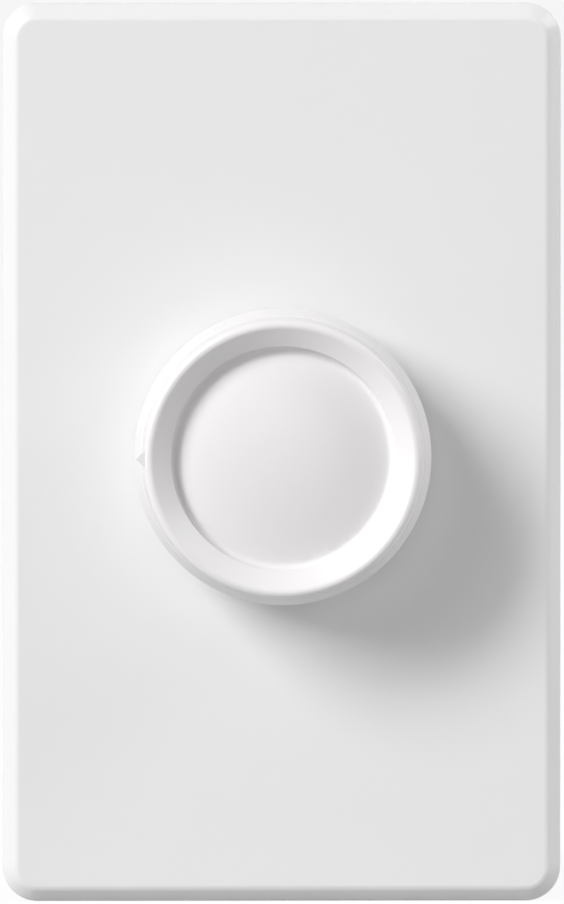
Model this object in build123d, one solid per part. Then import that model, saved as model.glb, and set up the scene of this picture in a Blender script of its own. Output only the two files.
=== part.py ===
from build123d import *
import os
from math import cos, radians, sin

# Rotary fan speed control for a single wall box: one knob, a snap-on plate and the works behind it.
# Sizes are in millimetres and degrees. X runs to the right, Z up and Y into the wall.
# Heights are counted forward from the wall plane, so what lies in the box has heights below zero.
# Angles are seen from the room, counter-clockwise from the right.

# Clearances
running_clearance = 0.04
seating_clearance = 0.02
loose_clearance = 0.3

# Wall plate
plate_width = 71.0
plate_height = 114.3
plate_depth = 6.5
plate_wall = 2.0
plate_corner_radius = 3.8
bevel_width = 1.8
bevel_depth = 1.5
bevel_front_rounding = 1.4
bevel_side_rounding = 0.4
plate_opening_radius = 9.0
catch_length = 12.0
catch_reach = 0.8
catch_lead = 1.0
catch_spacing = 34.0
catch_count = 3
seat_rib_width = 1.2
seat_rib_end_gap = 15.15
seat_rib_inset = 4.5

# Mounting yoke
yoke_thickness = 1.6
yoke_side_margin = 0.25
yoke_ear_width = 32.0
yoke_ear_length = 10.4
yoke_end_inset = 1.1
yoke_corner_radius = 3.0
ear_notch_radius = 1.2
ear_notch_inset = 6.4
box_screw_inset = 15.48
box_slot_length = 7.2
box_slot_width = 4.2

# Adapter frame that carries the plate
adapter_thickness = 1.6
adapter_side_gap = 2.0
adapter_end_gap = 1.65
adapter_corner_radius = 3.0
adapter_window_side_gap = 1.4
adapter_window_end_gap = 3.4
adapter_window_radius = 4.0
adapter_rim_width = 1.4
adapter_rim_height = 0.9
adapter_screw_inset = 3.0
adapter_tab_length = 10.0
adapter_tab_engagement = 0.5
adapter_slit_width = 1.0
adapter_slit_inset = 3.0
adapter_slit_extra = 5.0

# Machine screws
screw_radius = 1.75
screw_neck_radius = 1.5
box_screw_length = 25.4
box_screw_head_radius = 3.4
box_screw_head_height = 2.0
box_screw_head_chamfer = 0.9
adapter_screw_length = 9.5
adapter_screw_head_radius = 3.1
countersink_depth = 1.5
driver_slot_width = 0.9
driver_slot_depth = 0.8
screw_tip_chamfer = 0.6
retainer_width = 9.0
retainer_height = 5.5
retainer_thickness = 0.4

# Back housing
housing_width = 44.0
housing_length = 66.0
housing_depth = 27.0
housing_wall = 1.8
housing_draft = 1.0
housing_corner_radius = 3.0
housing_back_rounding = 1.2
housing_flange_height = 3.0
housing_flange_step = 0.6
panel_margin = 7.0
panel_corner_radius = 2.0
panel_depth = 0.4
housing_boss_radius = 2.9
housing_boss_inset = 4.8
ledge_width = 3.0
ledge_reach = 1.6
ledge_row = 19.0
lead_exit_length = 10.0
lead_exit_width = 5.0
lead_collar_wall = 1.2
lead_collar_height = 1.5
housing_rivet_radius = 1.25
housing_rivet_length = 8.0
rivet_head_radius = 2.4
rivet_head_height = 0.7

# Knob
knob_gap = 0.8
knob_height = 14.67
knob_radius = 18.88
knob_base_radius = 18.0
knob_widest_drop = 6.67
knob_widest_rounding = 0.5
seam_radius = 18.0
seam_drop = 4.27
seam_ledge = 0.14
crest_radius = 17.57
crest_rounding = 0.77
dish_edge_radius = 14.2
dish_edge_drop = 2.52
dish_step = 1.5
dish_draft = 0.05
dish_rounding = 1.0
dome_rise = 2.0
knob_wall = 1.6
hub_radius = 5.6
hub_clearance = 1.2
knob_rib_root = 0.3
knob_rib_count = 6
knob_rib_width = 1.2
knob_rib_drop = 7.07
pointer_angle = 180.0
pointer_tip_radius = 18.45
pointer_base_radius = 16.9
pointer_half_width = 1.2
pointer_drop = 0.77
knob_bore_margin = 0.6
spring_leaf_thickness = 0.4
spring_leaf_width = 3.6
spring_leaf_foot = 1.4

# Control shaft
shaft_radius = 3.175
shaft_tip_margin = 2.6
shaft_flat = 1.6
shaft_tip_chamfer = 0.5
collar_radius = 4.2
collar_width = 0.9
drive_radius = 2.6
drive_half_flat = 1.9
clip_groove_radius = 2.6
clip_groove_width = 0.7
clip_thickness = 0.6
clip_radius = 5.0
clip_mouth = 4.6

# Threaded bush and its hardware
bush_radius = 4.75
bush_length = 6.4
bush_boss_radius = 7.5
bush_boss_height = 0.6
bush_plate_thickness = 1.0
bush_lug_distance = 9.3
bush_lug_width = 2.8
bush_lug_thickness = 1.3
bush_lug_height = 1.1
washer_radius = 7.2
washer_band = 1.5
washer_thickness = 0.6
washer_teeth = 10
washer_tooth_width = 1.4
nut_sides = 6
nut_flats = 12.7
nut_height = 2.4
nut_chamfer = 0.5

# Speed setting element
can_radius = 12.0
can_wall = 0.5
can_depth = 9.0
can_tab_width = 4.0
can_tab_reach = 1.4
can_tab_thickness = 0.4
can_tab_angle = 45.0
can_tabs = 4
wafer_thickness = 1.2
wafer_tail_width = 14.0
wafer_tail_end = 16.5
lug_spacing = 5.0
lug_count = 3
lug_width = 1.6
lug_thickness = 0.4
lug_foot = 2.2
rotor_radius = 8.2
rotor_thickness = 2.0
rotor_hub_radius = 4.2
wiper_gap = 1.2
wiper_thickness = 0.25
wiper_ring_radius = 6.2
wiper_arm_radius = 8.6
wiper_arm_width = 2.2
wiper_shoe_length = 1.6
wiper_shoe_rounding = 0.25
stop_arm_radius = 10.6
stop_arm_angle = 34.0
stop_tab_angle = 24.0
stop_tab_inner_radius = 9.2
stop_direction = 270.0

# Line switch on the rear of the element
switch_radius = 11.0
switch_wall = 1.2
switch_depth = 6.8
cam_radius = 5.5
cam_thickness = 3.0
cam_notch_depth = 1.4
cam_notch_width = 4.0
cam_notch_angle = 300.0
hub_overrun = 1.0
blade_thickness = 0.3
blade_width = 2.2
blade_top = 6.2
blade_bottom = -6.6
contact_row = 4.6
contact_radius = 1.0
contact_height = 0.6
rear_lug_length = 4.0
post_size = 3.0

# Circuit board and its components
board_side_gap = 0.5
board_end_gap = 1.2
board_thickness = 1.6
board_face_height = -11.0
pin_radius = 0.4
pin_stick_out = 1.0
triac_row = 19.0
triac_rivet_column = -9.5
triac_end = 3.2
triac_width = 10.0
triac_tab_thickness = 1.3
triac_body_length = 9.2
triac_body_height = 3.2
triac_body_chamfer = 0.5
triac_length = 15.7
pad_thickness = 0.25
pad_margin = 1.2
triac_lead_count = 3
triac_lead_pitch = 2.54
triac_lead_width = 0.8
triac_lead_thickness = 0.5
triac_lead_reach = 3.5
triac_rivet_radius = 1.6
triac_rivet_head_radius = 2.9
choke_boss_gap = 10.2
choke_row = 20.3
choke_outer_radius = 8.2
choke_inner_radius = 4.6
choke_core_height = 7.2
winding_thickness = 1.2
winding_turns = 20
winding_groove = 0.5
winding_groove_depth = 0.5
filter_column = 0.0
filter_row = -22.8
filter_length = 16.0
filter_width = 8.5
filter_height = 11.5
capacitor_rounding = 0.8
timing_inset = 6.1
timing_row = 20.5
timing_length = 7.5
timing_width = 4.0
timing_height = 8.0
timing_pin_pitch = 5.0
filter_pin_pitch = 12.5
axial_inset = 3.9
resistor_radius = 1.3
resistor_length = 7.0
axial_pin_pitch = 10.0
diac_radius = 1.0
diac_length = 4.0

# Outlines that follow from the plate and the housing
plate_inside_width = plate_width - 2 * plate_wall
plate_inside_length = plate_height - 2 * plate_wall
adapter_width = plate_inside_width - 2 * adapter_side_gap
adapter_length = plate_inside_length - 2 * adapter_end_gap
seat_rib_length = plate_height - 2 * seat_rib_end_gap
seat_rib_offset = adapter_width / 2 - seat_rib_inset
yoke_width = housing_width + 2 * yoke_side_margin
yoke_length = adapter_length - 2 * yoke_end_inset
yoke_wide_length = yoke_length - 2 * yoke_ear_length
ear_notch_height = yoke_length / 2 - ear_notch_inset
adapter_screw_spacing = yoke_length - 2 * adapter_screw_inset
box_screw_spacing = plate_height - 2 * box_screw_inset
housing_inside_width = housing_width - 2 * housing_flange_step - 2 * housing_wall
housing_inside_length = housing_length - 2 * housing_flange_step - 2 * housing_wall
housing_boss_column = housing_width / 2 - housing_boss_inset
housing_boss_row = housing_length / 2 - housing_boss_inset
adapter_window_width = 2 * (housing_boss_column + rivet_head_radius + adapter_window_side_gap)
adapter_window_length = 2 * (housing_boss_row + rivet_head_radius + adapter_window_end_gap)
board_width = housing_inside_width - 2 * board_side_gap
board_length = housing_inside_length - 2 * board_end_gap
choke_column = choke_boss_gap - housing_boss_column
timing_column = board_width / 2 - timing_inset
axial_column = board_width / 2 - axial_inset

# Levels along the axis
yoke_front = yoke_thickness
adapter_front = yoke_front + adapter_thickness
plate_inside = plate_depth - plate_wall
crest_height = plate_depth + knob_height
knob_base = plate_depth + knob_gap
widest_height = crest_height - knob_widest_drop
seam_height = crest_height - seam_drop
dish_edge_height = crest_height - dish_edge_drop
dish_floor_height = dish_edge_height - dish_step
dome_height = dish_floor_height + dome_rise
shaft_tip = dome_height - shaft_tip_margin
hub_base = bush_length + clip_groove_width + hub_clearance
bush_plate_front = -bush_boss_height
bush_plate_back = bush_plate_front - bush_plate_thickness
wafer_back = bush_plate_back - wafer_thickness
rotor_front = wafer_back - wiper_gap
rotor_back = rotor_front - rotor_thickness
can_back = bush_plate_front - can_depth
cam_front = can_back - hub_overrun
cam_back = cam_front - cam_thickness
switch_back = can_back - switch_depth
switch_floor = switch_back + switch_wall
blade_middle = (cam_front + cam_back) / 2
board_back = board_face_height - board_thickness
housing_back = -housing_depth
housing_floor = housing_back + housing_wall


def at_height(height):
    """Drawing plane parallel to the wall that faces the room."""
    return Plane.XZ.offset(height)


def prism(outline, back, front):
    """Outline seen from the room, carried straight from one height to another."""
    return extrude(at_height(back) * outline, front - back)


def turned(*points):
    """Solid of revolution about the control axis from (radius, height) corners."""
    outline = Polyline(*[(radius, -height) for radius, height in points], close=True)
    return revolve(make_face(outline), Axis.Y)


def ring(outer, inner):
    """Flat ring outline about the control axis."""
    return Circle(outer) - Circle(inner)


def polar(radius, angle):
    """Point at a radius and an angle seen from the room."""
    return radius * cos(radians(angle)), radius * sin(radians(angle))


def sector(outer, inner, middle, width):
    """Piece of a flat ring that spans a width in degrees about a middle angle."""
    far = 2 * outer
    start = polar(far, middle - width / 2)
    end = polar(far, middle + width / 2)
    wedge = make_face(Polyline((0, 0), start, end, close=True))
    return ring(outer, inner) & wedge


def block(left, right, bottom, top, back, front):
    """Straight-sided block between two columns, two rows and two heights."""
    outline = Pos((left + right) / 2, (bottom + top) / 2) * Rectangle(right - left, top - bottom)
    return prism(outline, back, front)


def d_section(radius, flat):
    """Round outline cut by one flat above the axis."""
    cut = Pos(0, flat + radius) * Rectangle(2 * radius, 2 * radius)
    return Circle(radius) - cut


def double_d_section(radius, half_flat):
    """Round outline with two opposite flats."""
    return Circle(radius) & Rectangle(2 * radius, 2 * half_flat)


def both_ways(distance):
    """The two places at a distance above and below the axis."""
    return [(0, distance), (0, -distance)]


def corners(column, row):
    """The four places at a column and a row on each side of the axis."""
    return [(side * column, level * row) for side in (-1, 1) for level in (-1, 1)]


def spread(count, spacing):
    """Evenly spaced places about zero."""
    return [spacing * (index - (count - 1) / 2) for index in range(count)]


def copies(shape, places):
    """One shape repeated at (column, row) places as separate solids."""
    return Part(children=[Pos(column, 0, row) * shape for column, row in places])


def edges_at(shape, height):
    """Edges of a shape that lie at one height."""
    low = -height - seating_clearance
    high = -height + seating_clearance
    return shape.edges().filter_by_position(Axis.Y, low, high)


def wall_plate():
    """Snap-on cover: a bevelled tray with catches on its long walls and an opening for the bush."""
    outline = RectangleRounded(plate_width, plate_height, plate_corner_radius)
    bevel_start = plate_depth - bevel_depth
    inner_radius = plate_corner_radius - bevel_width
    face = RectangleRounded(plate_width - 2 * bevel_width, plate_height - 2 * bevel_width, inner_radius)
    body = prism(outline, 0, bevel_start)
    body += loft([at_height(bevel_start) * outline, at_height(plate_depth) * face], ruled=True)
    body = fillet(edges_at(body, plate_depth), bevel_front_rounding)
    body = fillet(edges_at(body, bevel_start), bevel_side_rounding)
    inside = RectangleRounded(plate_inside_width, plate_inside_length, plate_corner_radius - plate_wall)
    body -= prism(inside, 0, plate_inside)
    body -= prism(Circle(plate_opening_radius), 0, plate_depth)
    for side in (-1, 1):
        for row in spread(catch_count, catch_spacing):
            body += plate_catch(side, row)
        column = side * seat_rib_offset
        rib = Pos(column, 0) * Rectangle(seat_rib_width, seat_rib_length)
        body += prism(rib, adapter_front, plate_inside)
    return body


def plate_catch(side, row):
    """Wedge on the inner wall that a tab of the adapter frame rides over and locks behind."""
    wall = side * plate_inside_width / 2
    root = wall + side * seating_clearance
    tip = wall - side * catch_reach
    back = yoke_front - catch_lead
    outline = Polyline(
        (root, -back),
        (tip, -back - catch_lead / 2),
        (tip, -yoke_front),
        (root, -yoke_front),
        close=True,
    )
    wedge = extrude(make_face(outline), catch_length / 2, both=True)
    return Pos(0, 0, row) * wedge


def adapter_frame():
    """Screwed-on frame with a window for the works and springy side tabs for the plate."""
    outline = RectangleRounded(adapter_width, adapter_length, adapter_corner_radius)
    tab_tip = plate_inside_width / 2 - catch_reach + adapter_tab_engagement
    for row in spread(catch_count, catch_spacing):
        outline += Pos(0, row) * Rectangle(2 * tab_tip, adapter_tab_length)
    outline -= RectangleRounded(adapter_window_width, adapter_window_length, adapter_window_radius)
    head_room = box_screw_head_radius + loose_clearance
    for column, row in both_ways(box_screw_spacing / 2):
        outline -= Pos(column, row) * Circle(head_room)
    for side in (-1, 1):
        for row in spread(catch_count, catch_spacing):
            slit = Rectangle(adapter_slit_width, adapter_tab_length + adapter_slit_extra)
            outline -= Pos(side * (adapter_width / 2 - adapter_slit_inset), row) * slit
    frame = prism(outline, yoke_front, adapter_front)
    rim_inner = RectangleRounded(
        adapter_width - 2 * adapter_rim_width,
        adapter_length - 2 * adapter_rim_width,
        adapter_corner_radius - adapter_rim_width,
    )
    rim = RectangleRounded(adapter_width, adapter_length, adapter_corner_radius) - rim_inner
    frame += prism(rim, adapter_front, adapter_front + adapter_rim_height)
    head_hole = adapter_screw_head_radius + seating_clearance
    sink = countersunk(head_hole, screw_radius + seating_clearance, 0)
    for column, row in both_ways(adapter_screw_spacing / 2):
        frame -= Pos(column, 0, row) * sink
    return frame


def countersunk(head_radius, shank_radius, bottom):
    """Countersunk form at the adapter's front, with its shank running down to a bottom height."""
    neck = adapter_front - countersink_depth
    return turned(
        (0, adapter_front),
        (head_radius, adapter_front),
        (shank_radius, neck),
        (shank_radius, bottom),
        (0, bottom),
    )


def driver_slot(front):
    """Straight driver slot below the front of a screw head."""
    length = 2 * box_screw_head_radius + loose_clearance
    return prism(Rectangle(length, driver_slot_width), front - driver_slot_depth, front)


def adapter_screws():
    """Two flat-head screws that hold the adapter frame to the yoke."""
    screw = countersunk(adapter_screw_head_radius, screw_radius, adapter_front - adapter_screw_length)
    screw = chamfer(edges_at(screw, adapter_front - adapter_screw_length), screw_tip_chamfer)
    return copies(screw - driver_slot(adapter_front), both_ways(adapter_screw_spacing / 2))


def box_screws():
    """Two captive pan-head screws that hold the yoke to the wall box."""
    front = yoke_front + box_screw_head_height
    tip = yoke_front - box_screw_length
    screw = prism(Circle(box_screw_head_radius), yoke_front, front)
    screw = chamfer(edges_at(screw, front), box_screw_head_chamfer)
    screw += prism(Circle(screw_neck_radius), -retainer_thickness, yoke_front)
    screw += prism(Circle(screw_radius), tip, -retainer_thickness)
    screw = chamfer(edges_at(screw, tip), screw_tip_chamfer)
    return copies(screw - driver_slot(front), both_ways(box_screw_spacing / 2))


def screw_retainers():
    """Fibre pieces that keep the box screws from falling out of the yoke."""
    outline = Rectangle(retainer_width, retainer_height) - Circle(screw_neck_radius + seating_clearance)
    return copies(prism(outline, -retainer_thickness, 0), both_ways(box_screw_spacing / 2))


def mounting_yoke():
    """Pierced metal strap: it fixes the device to the wall box and cools the triac."""
    outline = RectangleRounded(yoke_width, yoke_wide_length, yoke_corner_radius)
    outline += RectangleRounded(yoke_ear_width, yoke_length, yoke_corner_radius)
    for place in both_ways(box_screw_spacing / 2):
        outline -= Pos(*place) * SlotOverall(box_slot_length, box_slot_width)
    for place in both_ways(adapter_screw_spacing / 2):
        outline -= Pos(*place) * Circle(screw_radius + seating_clearance)
    for place in corners(yoke_ear_width / 2, ear_notch_height):
        outline -= Pos(*place) * Circle(ear_notch_radius)
    for place in corners(housing_boss_column, housing_boss_row):
        outline -= Pos(*place) * Circle(housing_rivet_radius + seating_clearance)
    outline -= Circle(bush_radius + seating_clearance)
    outline -= Pos(triac_rivet_column, triac_row) * Circle(triac_rivet_radius + seating_clearance)
    hole_width = bush_lug_thickness + 2 * running_clearance
    hole_height = bush_lug_width + 2 * running_clearance
    outline -= Pos(-bush_lug_distance, 0) * Rectangle(hole_width, hole_height)
    return prism(outline, 0, yoke_front)


def back_housing():
    """Moulded cup behind the yoke, with rivet bosses, board ledges and a collared exit for the leads."""
    step = 2 * housing_flange_step
    outline = RectangleRounded(housing_width - step, housing_length - step, housing_corner_radius)
    outer = extrude(Plane.XZ * outline, -housing_depth, taper=housing_draft)
    outer = fillet(edges_at(outer, housing_back), housing_back_rounding)
    flange = RectangleRounded(housing_width, housing_length, housing_corner_radius)
    outer += prism(flange, -housing_flange_height, 0)
    margin = 2 * panel_margin
    panel = RectangleRounded(housing_width - margin, housing_length - margin, panel_corner_radius)
    outer -= prism(panel, housing_back, housing_back + panel_depth)
    inside_radius = housing_corner_radius - housing_wall
    inside = RectangleRounded(housing_inside_width, housing_inside_length, inside_radius)
    cavity = extrude(Plane.XZ * inside, -(housing_depth - housing_wall), taper=housing_draft)
    inner_forms = copies(
        prism(Circle(housing_boss_radius), housing_floor, 0),
        corners(housing_boss_column, housing_boss_row),
    )
    reach = housing_inside_width / 2 - ledge_reach
    for side, row in corners(1, ledge_row):
        left, right = sorted((side * reach, side * housing_width / 2))
        bottom = row - ledge_width / 2
        inner_forms += block(left, right, bottom, bottom + ledge_width, housing_floor, board_back)
    housing = outer - cavity
    housing += inner_forms & outer
    slot = SlotOverall(lead_exit_length, lead_exit_width)
    collar = SlotOverall(lead_exit_length + 2 * lead_collar_wall, lead_exit_width + 2 * lead_collar_wall)
    housing += prism(collar, housing_back - lead_collar_height, housing_floor)
    housing -= prism(slot, housing_back - lead_collar_height, housing_floor)
    pocket = prism(Circle(housing_rivet_radius + seating_clearance), -housing_rivet_length, 0)
    for column, row in corners(housing_boss_column, housing_boss_row):
        housing -= Pos(column, 0, row) * pocket
    return housing


def rivet(shank_radius, head_radius, tail, front):
    """Round-headed rivet along the axis from a tail to the underside of its head."""
    head = prism(Circle(head_radius), front, front + rivet_head_height)
    head = chamfer(edges_at(head, front + rivet_head_height), rivet_head_height / 2)
    return head + prism(Circle(shank_radius), tail, front)


def housing_rivets():
    """Four rivets that hold the housing to the yoke."""
    one = rivet(housing_rivet_radius, rivet_head_radius, -housing_rivet_length, yoke_front)
    return copies(one, corners(housing_boss_column, housing_boss_row))


def knob_shell():
    """Closed form of the knob: grip taper, seam ledge, crest, dished cone and domed centre."""
    half_ledge = seam_ledge / 2
    floor_radius = dish_edge_radius - dish_draft
    side = Polyline(
        (0, -knob_base),
        (knob_base_radius, -knob_base),
        (knob_radius, -widest_height),
        (seam_radius + half_ledge, -seam_height),
        (seam_radius - half_ledge, -seam_height),
        (crest_radius, -crest_height),
        (dish_edge_radius, -dish_edge_height),
        (floor_radius, -dish_floor_height),
    )
    dome = dome_arc(floor_radius, dish_floor_height, dome_height)
    axis_line = Line((0, -dome_height), (0, -knob_base))
    section = make_face(side + dome + axis_line)
    section = rounded_corner(section, crest_radius, crest_height, crest_rounding)
    section = rounded_corner(section, knob_radius, widest_height, knob_widest_rounding)
    section = rounded_corner(section, floor_radius, dish_floor_height, dish_rounding)
    return revolve(section, Axis.Y)


def rounded_corner(section, radius, height, rounding):
    """Half section with one of its corners rounded."""
    corner = section.vertices().sort_by_distance((radius, -height, 0))[0]
    return fillet(corner, rounding)


def dome_arc(edge_radius, edge_height, top_height):
    """Half section of a shallow dome from its edge to the axis, level on the axis."""
    return TangentArc((0, -top_height), (edge_radius, -edge_height), tangent=(1, 0))


def knob_cavity(wall):
    """Hollow under the knob for a wall thickness, with a conical roof below the dome."""
    radius = knob_base_radius - wall
    roof = dish_floor_height - wall
    return turned((0, knob_base), (radius, knob_base), (radius, roof), (0, dome_height - wall))


def knob():
    """Moulded knob with a pointer on its side, a keyed hub and ribs inside."""
    shell = knob_shell()
    inner_forms = prism(Circle(hub_radius), hub_base, crest_height)
    rib_base = crest_height - knob_rib_drop
    for index in range(knob_rib_count):
        rib = block(0, knob_base_radius, -knob_rib_width / 2, knob_rib_width / 2, rib_base, crest_height)
        inner_forms += rib.rotate(Axis.Y, index * 360 / knob_rib_count)
    body = shell - knob_cavity(knob_wall)
    body += inner_forms & knob_cavity(knob_wall - knob_rib_root)
    mark = Polyline(
        (pointer_tip_radius, 0),
        (pointer_base_radius, pointer_half_width),
        (pointer_base_radius, -pointer_half_width),
        close=True,
    )
    mark = Rot(0, 0, pointer_angle) * make_face(mark)
    body += prism(mark, widest_height, crest_height - pointer_drop)
    bore_top = shaft_tip + knob_bore_margin
    leaf_room = spring_leaf_thickness + 2 * seating_clearance
    bore = d_section(shaft_radius + seating_clearance, shaft_flat + leaf_room)
    return body - prism(bore, plate_depth, bore_top)


def knob_spring():
    """Leaf spring between the shaft's flat and the hub, with a foot that hooks under the hub."""
    back = shaft_flat + seating_clearance
    front = back + spring_leaf_thickness
    half = spring_leaf_width / 2
    bottom = hub_base - spring_leaf_thickness
    leaf = block(-half, half, back, front, bottom, shaft_tip)
    foot = block(-half, half, front, front + spring_leaf_foot, bottom, hub_base)
    return leaf + foot


def control_shaft():
    """Turned shaft: keyed tip, clip groove, thrust collar and a two-flat drive end."""
    shaft = prism(Circle(shaft_radius), rotor_front, shaft_tip)
    shaft = chamfer(edges_at(shaft, shaft_tip), shaft_tip_chamfer)
    collar_front = bush_plate_back - running_clearance
    shaft += prism(Circle(collar_radius), collar_front - collar_width, collar_front)
    shaft += prism(double_d_section(drive_radius, drive_half_flat), cam_back, rotor_front)
    flat = d_section(shaft_radius, shaft_flat)
    flat_end = hub_base - spring_leaf_thickness - loose_clearance
    shaft -= prism(Circle(shaft_radius) - flat, flat_end, shaft_tip)
    groove = ring(shaft_radius, clip_groove_radius)
    return shaft - prism(groove, bush_length, bush_length + clip_groove_width)


def shaft_clip():
    """Open retaining ring that sits in the shaft's groove in front of the bush."""
    outline = ring(clip_radius, clip_groove_radius + seating_clearance)
    outline -= Pos(0, -clip_radius) * Rectangle(clip_mouth, 2 * clip_radius)
    back = bush_length + running_clearance
    return prism(outline, back, back + clip_thickness)


def shaft_bush():
    """Threaded bush with the front plate of the speed element and a lug that stops it turning."""
    bush = prism(Circle(bush_radius), bush_plate_back, bush_length)
    bush += prism(Circle(bush_boss_radius), bush_plate_back, 0)
    bush += prism(Circle(can_radius - can_wall - seating_clearance), bush_plate_back, bush_plate_front)
    lug = Pos(-bush_lug_distance, 0) * Rectangle(bush_lug_thickness, bush_lug_width)
    bush += prism(lug, bush_plate_back, bush_lug_height)
    return bush - prism(Circle(shaft_radius + running_clearance), bush_plate_back, bush_length)


def lock_washer():
    """Washer with inner teeth between the yoke and the nut."""
    outline = ring(washer_radius, washer_radius - washer_band)
    tooth_middle = washer_radius - washer_band
    for index in range(washer_teeth):
        tooth = Pos(tooth_middle, 0) * Rectangle(washer_band, washer_tooth_width)
        outline += Rot(0, 0, index * 360 / washer_teeth) * tooth
    outline -= Circle(bush_radius + seating_clearance)
    return prism(outline, yoke_front, yoke_front + washer_thickness)


def bush_nut():
    """Hexagon nut that clamps the bush to the yoke."""
    back = yoke_front + washer_thickness
    front = back + nut_height
    outline = RegularPolygon(nut_flats / 2, nut_sides, major_radius=False)
    outline -= Circle(bush_radius + seating_clearance)
    corner = nut_flats / 2 / cos(radians(180 / nut_sides))
    shoulder = front - nut_chamfer
    blank = turned((0, back), (corner, back), (corner, shoulder), (nut_flats / 2, front), (0, front))
    return prism(outline, back, front) & blank


def resistance_wafer():
    """Board with the resistance track, clamped behind the front plate, with a tail for the lugs."""
    outline = Circle(can_radius - can_wall - seating_clearance)
    tail = Pos(0, -wafer_tail_end / 2) * Rectangle(wafer_tail_width, wafer_tail_end)
    outline += tail
    outline -= Circle(collar_radius + loose_clearance)
    return prism(outline, wafer_back, bush_plate_back)


def element_lugs():
    """Three bent lugs from the wafer's tail to the circuit board."""
    row = -wafer_tail_end + lug_thickness
    lugs = []
    for column in spread(lug_count, lug_spacing):
        left = column - lug_width / 2
        right = column + lug_width / 2
        foot = block(left, right, row, row + lug_foot, wafer_back - lug_thickness, wafer_back)
        leg = block(left, right, row - lug_thickness, row, board_back - pin_stick_out, wafer_back)
        lugs.append(foot + leg)
    return Part(children=lugs)


def element_rotor():
    """Moulded rotor with the arm that meets the stop and a hub that reaches the switch cam."""
    body = prism(Circle(rotor_radius), rotor_back, rotor_front)
    arm = sector(stop_arm_radius, rotor_hub_radius, pointer_angle, stop_arm_angle)
    body += prism(arm, rotor_back, rotor_front)
    body += prism(Circle(rotor_hub_radius), cam_front, rotor_front)
    bore = double_d_section(drive_radius + seating_clearance, drive_half_flat + seating_clearance)
    return body - prism(bore, cam_front, rotor_front)


def element_wiper():
    """Spring contact on the rotor: a ring with one raised arm that slides on the track."""
    back = rotor_front
    front = back + wiper_thickness
    shoe_front = wafer_back - running_clearance
    body = prism(ring(wiper_ring_radius, collar_radius + loose_clearance), back, front)
    half = wiper_arm_width / 2
    arm_end = wiper_arm_radius
    shoe_start = arm_end - wiper_shoe_length
    body += block(wiper_ring_radius - wiper_thickness, arm_end, -half, half, back, front)
    riser = block(shoe_start, arm_end, -half, half, back, shoe_front)
    return body + fillet(edges_at(riser, shoe_front), wiper_shoe_rounding)


def element_can():
    """Drawn can that closes the element, with folded tabs at the front and a stop inside."""
    front = bush_plate_front
    inner = can_radius - can_wall
    can = prism(Circle(can_radius), can_back, front)
    can -= prism(Circle(inner), can_back + can_wall, front)
    can -= prism(Circle(rotor_hub_radius + loose_clearance), can_back, front)
    stop = sector(inner + seating_clearance, stop_tab_inner_radius, stop_direction, stop_tab_angle)
    can += prism(stop, can_back, rotor_front)
    gate = wafer_tail_width / 2 + loose_clearance
    can -= block(-gate, gate, -can_radius, 0, wafer_back - loose_clearance, front)
    half = can_tab_width / 2
    for index in range(can_tabs):
        tab = block(inner - can_tab_reach, can_radius, -half, half, front, front + can_tab_thickness)
        can += tab.rotate(Axis.Y, can_tab_angle + index * 360 / can_tabs)
    return can


def switch_base():
    """Moulded cup of the line switch, fixed to the rear of the can, with posts for its contacts."""
    base = prism(Circle(switch_radius), switch_back, can_back)
    base -= prism(Circle(switch_radius - switch_wall), switch_floor, can_back)
    inner_forms = Part()
    for row, column in ((blade_bottom, blade_column()), (contact_row, fixed_column())):
        left = column - post_size / 2
        bottom = row - post_size / 2
        post = block(left, column + post_size, bottom, bottom + post_size, switch_floor, cam_back)
        inner_forms += post
    base += inner_forms & prism(Circle(switch_radius), switch_back, can_back)
    for row, column in ((blade_bottom, blade_column()), (contact_row, fixed_column())):
        base -= block(*lug_slot(column, row), switch_back, cam_back)
    return base


def blade_column():
    """Column of the blade's face that the cam pushes."""
    return cam_radius + running_clearance


def fixed_column():
    """Column of the fixed contact's strip, one pair of closed contacts away from the blade."""
    return blade_column() + blade_thickness + 2 * contact_height


def lug_slot(column, row):
    """Edges of the slot that a contact strip passes through in the switch base."""
    half = blade_width / 2 + seating_clearance
    right = column + blade_thickness + seating_clearance
    return column - seating_clearance, right, row - half, row + half


def contact_lug(column, row):
    """Strip that runs back through the switch base to a solder lug."""
    half = blade_width / 2
    back = switch_back - rear_lug_length
    front = blade_middle + half
    return block(column, column + blade_thickness, row - half, row + half, back, front)


def contact_button(column):
    """Round contact that faces along the row of the switch."""
    place = Plane(origin=(column, -blade_middle, contact_row), z_dir=(1, 0, 0))
    return extrude(place * Circle(contact_radius), contact_height)


def switch_blade():
    """Springy blade that the cam presses shut, fixed at its lower end."""
    half = blade_width / 2
    column = blade_column()
    bottom = blade_bottom - half
    back = blade_middle - half
    blade = block(column, column + blade_thickness, bottom, blade_top, back, back + blade_width)
    blade += contact_lug(column, blade_bottom)
    return blade + contact_button(column + blade_thickness)


def switch_contact():
    """Fixed contact of the line switch on its own strip."""
    column = fixed_column()
    return contact_lug(column, contact_row) + contact_button(column - contact_height)


def switch_cam():
    """Cam on the drive end: its notch lets the blade open at the off end of the travel."""
    outline = Circle(cam_radius)
    notch = Pos(cam_radius, 0) * Rectangle(2 * cam_notch_depth, cam_notch_width)
    outline -= Rot(0, 0, cam_notch_angle) * notch
    outline -= double_d_section(drive_radius + seating_clearance, drive_half_flat + seating_clearance)
    return prism(outline, cam_back, cam_front)


def board_pin_places():
    """Columns and rows of the round pins that pass through the circuit board."""
    places = [(filter_column + side * filter_pin_pitch / 2, filter_row) for side in (-1, 1)]
    places += [(timing_column + side * timing_pin_pitch / 2, timing_row) for side in (-1, 1)]
    places += [(choke_column + side * choke_pin_pitch() / 2, choke_row) for side in (-1, 1)]
    for column in (-axial_column, axial_column):
        places += [(column, side * axial_pin_pitch / 2) for side in (-1, 1)]
    return places


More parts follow.
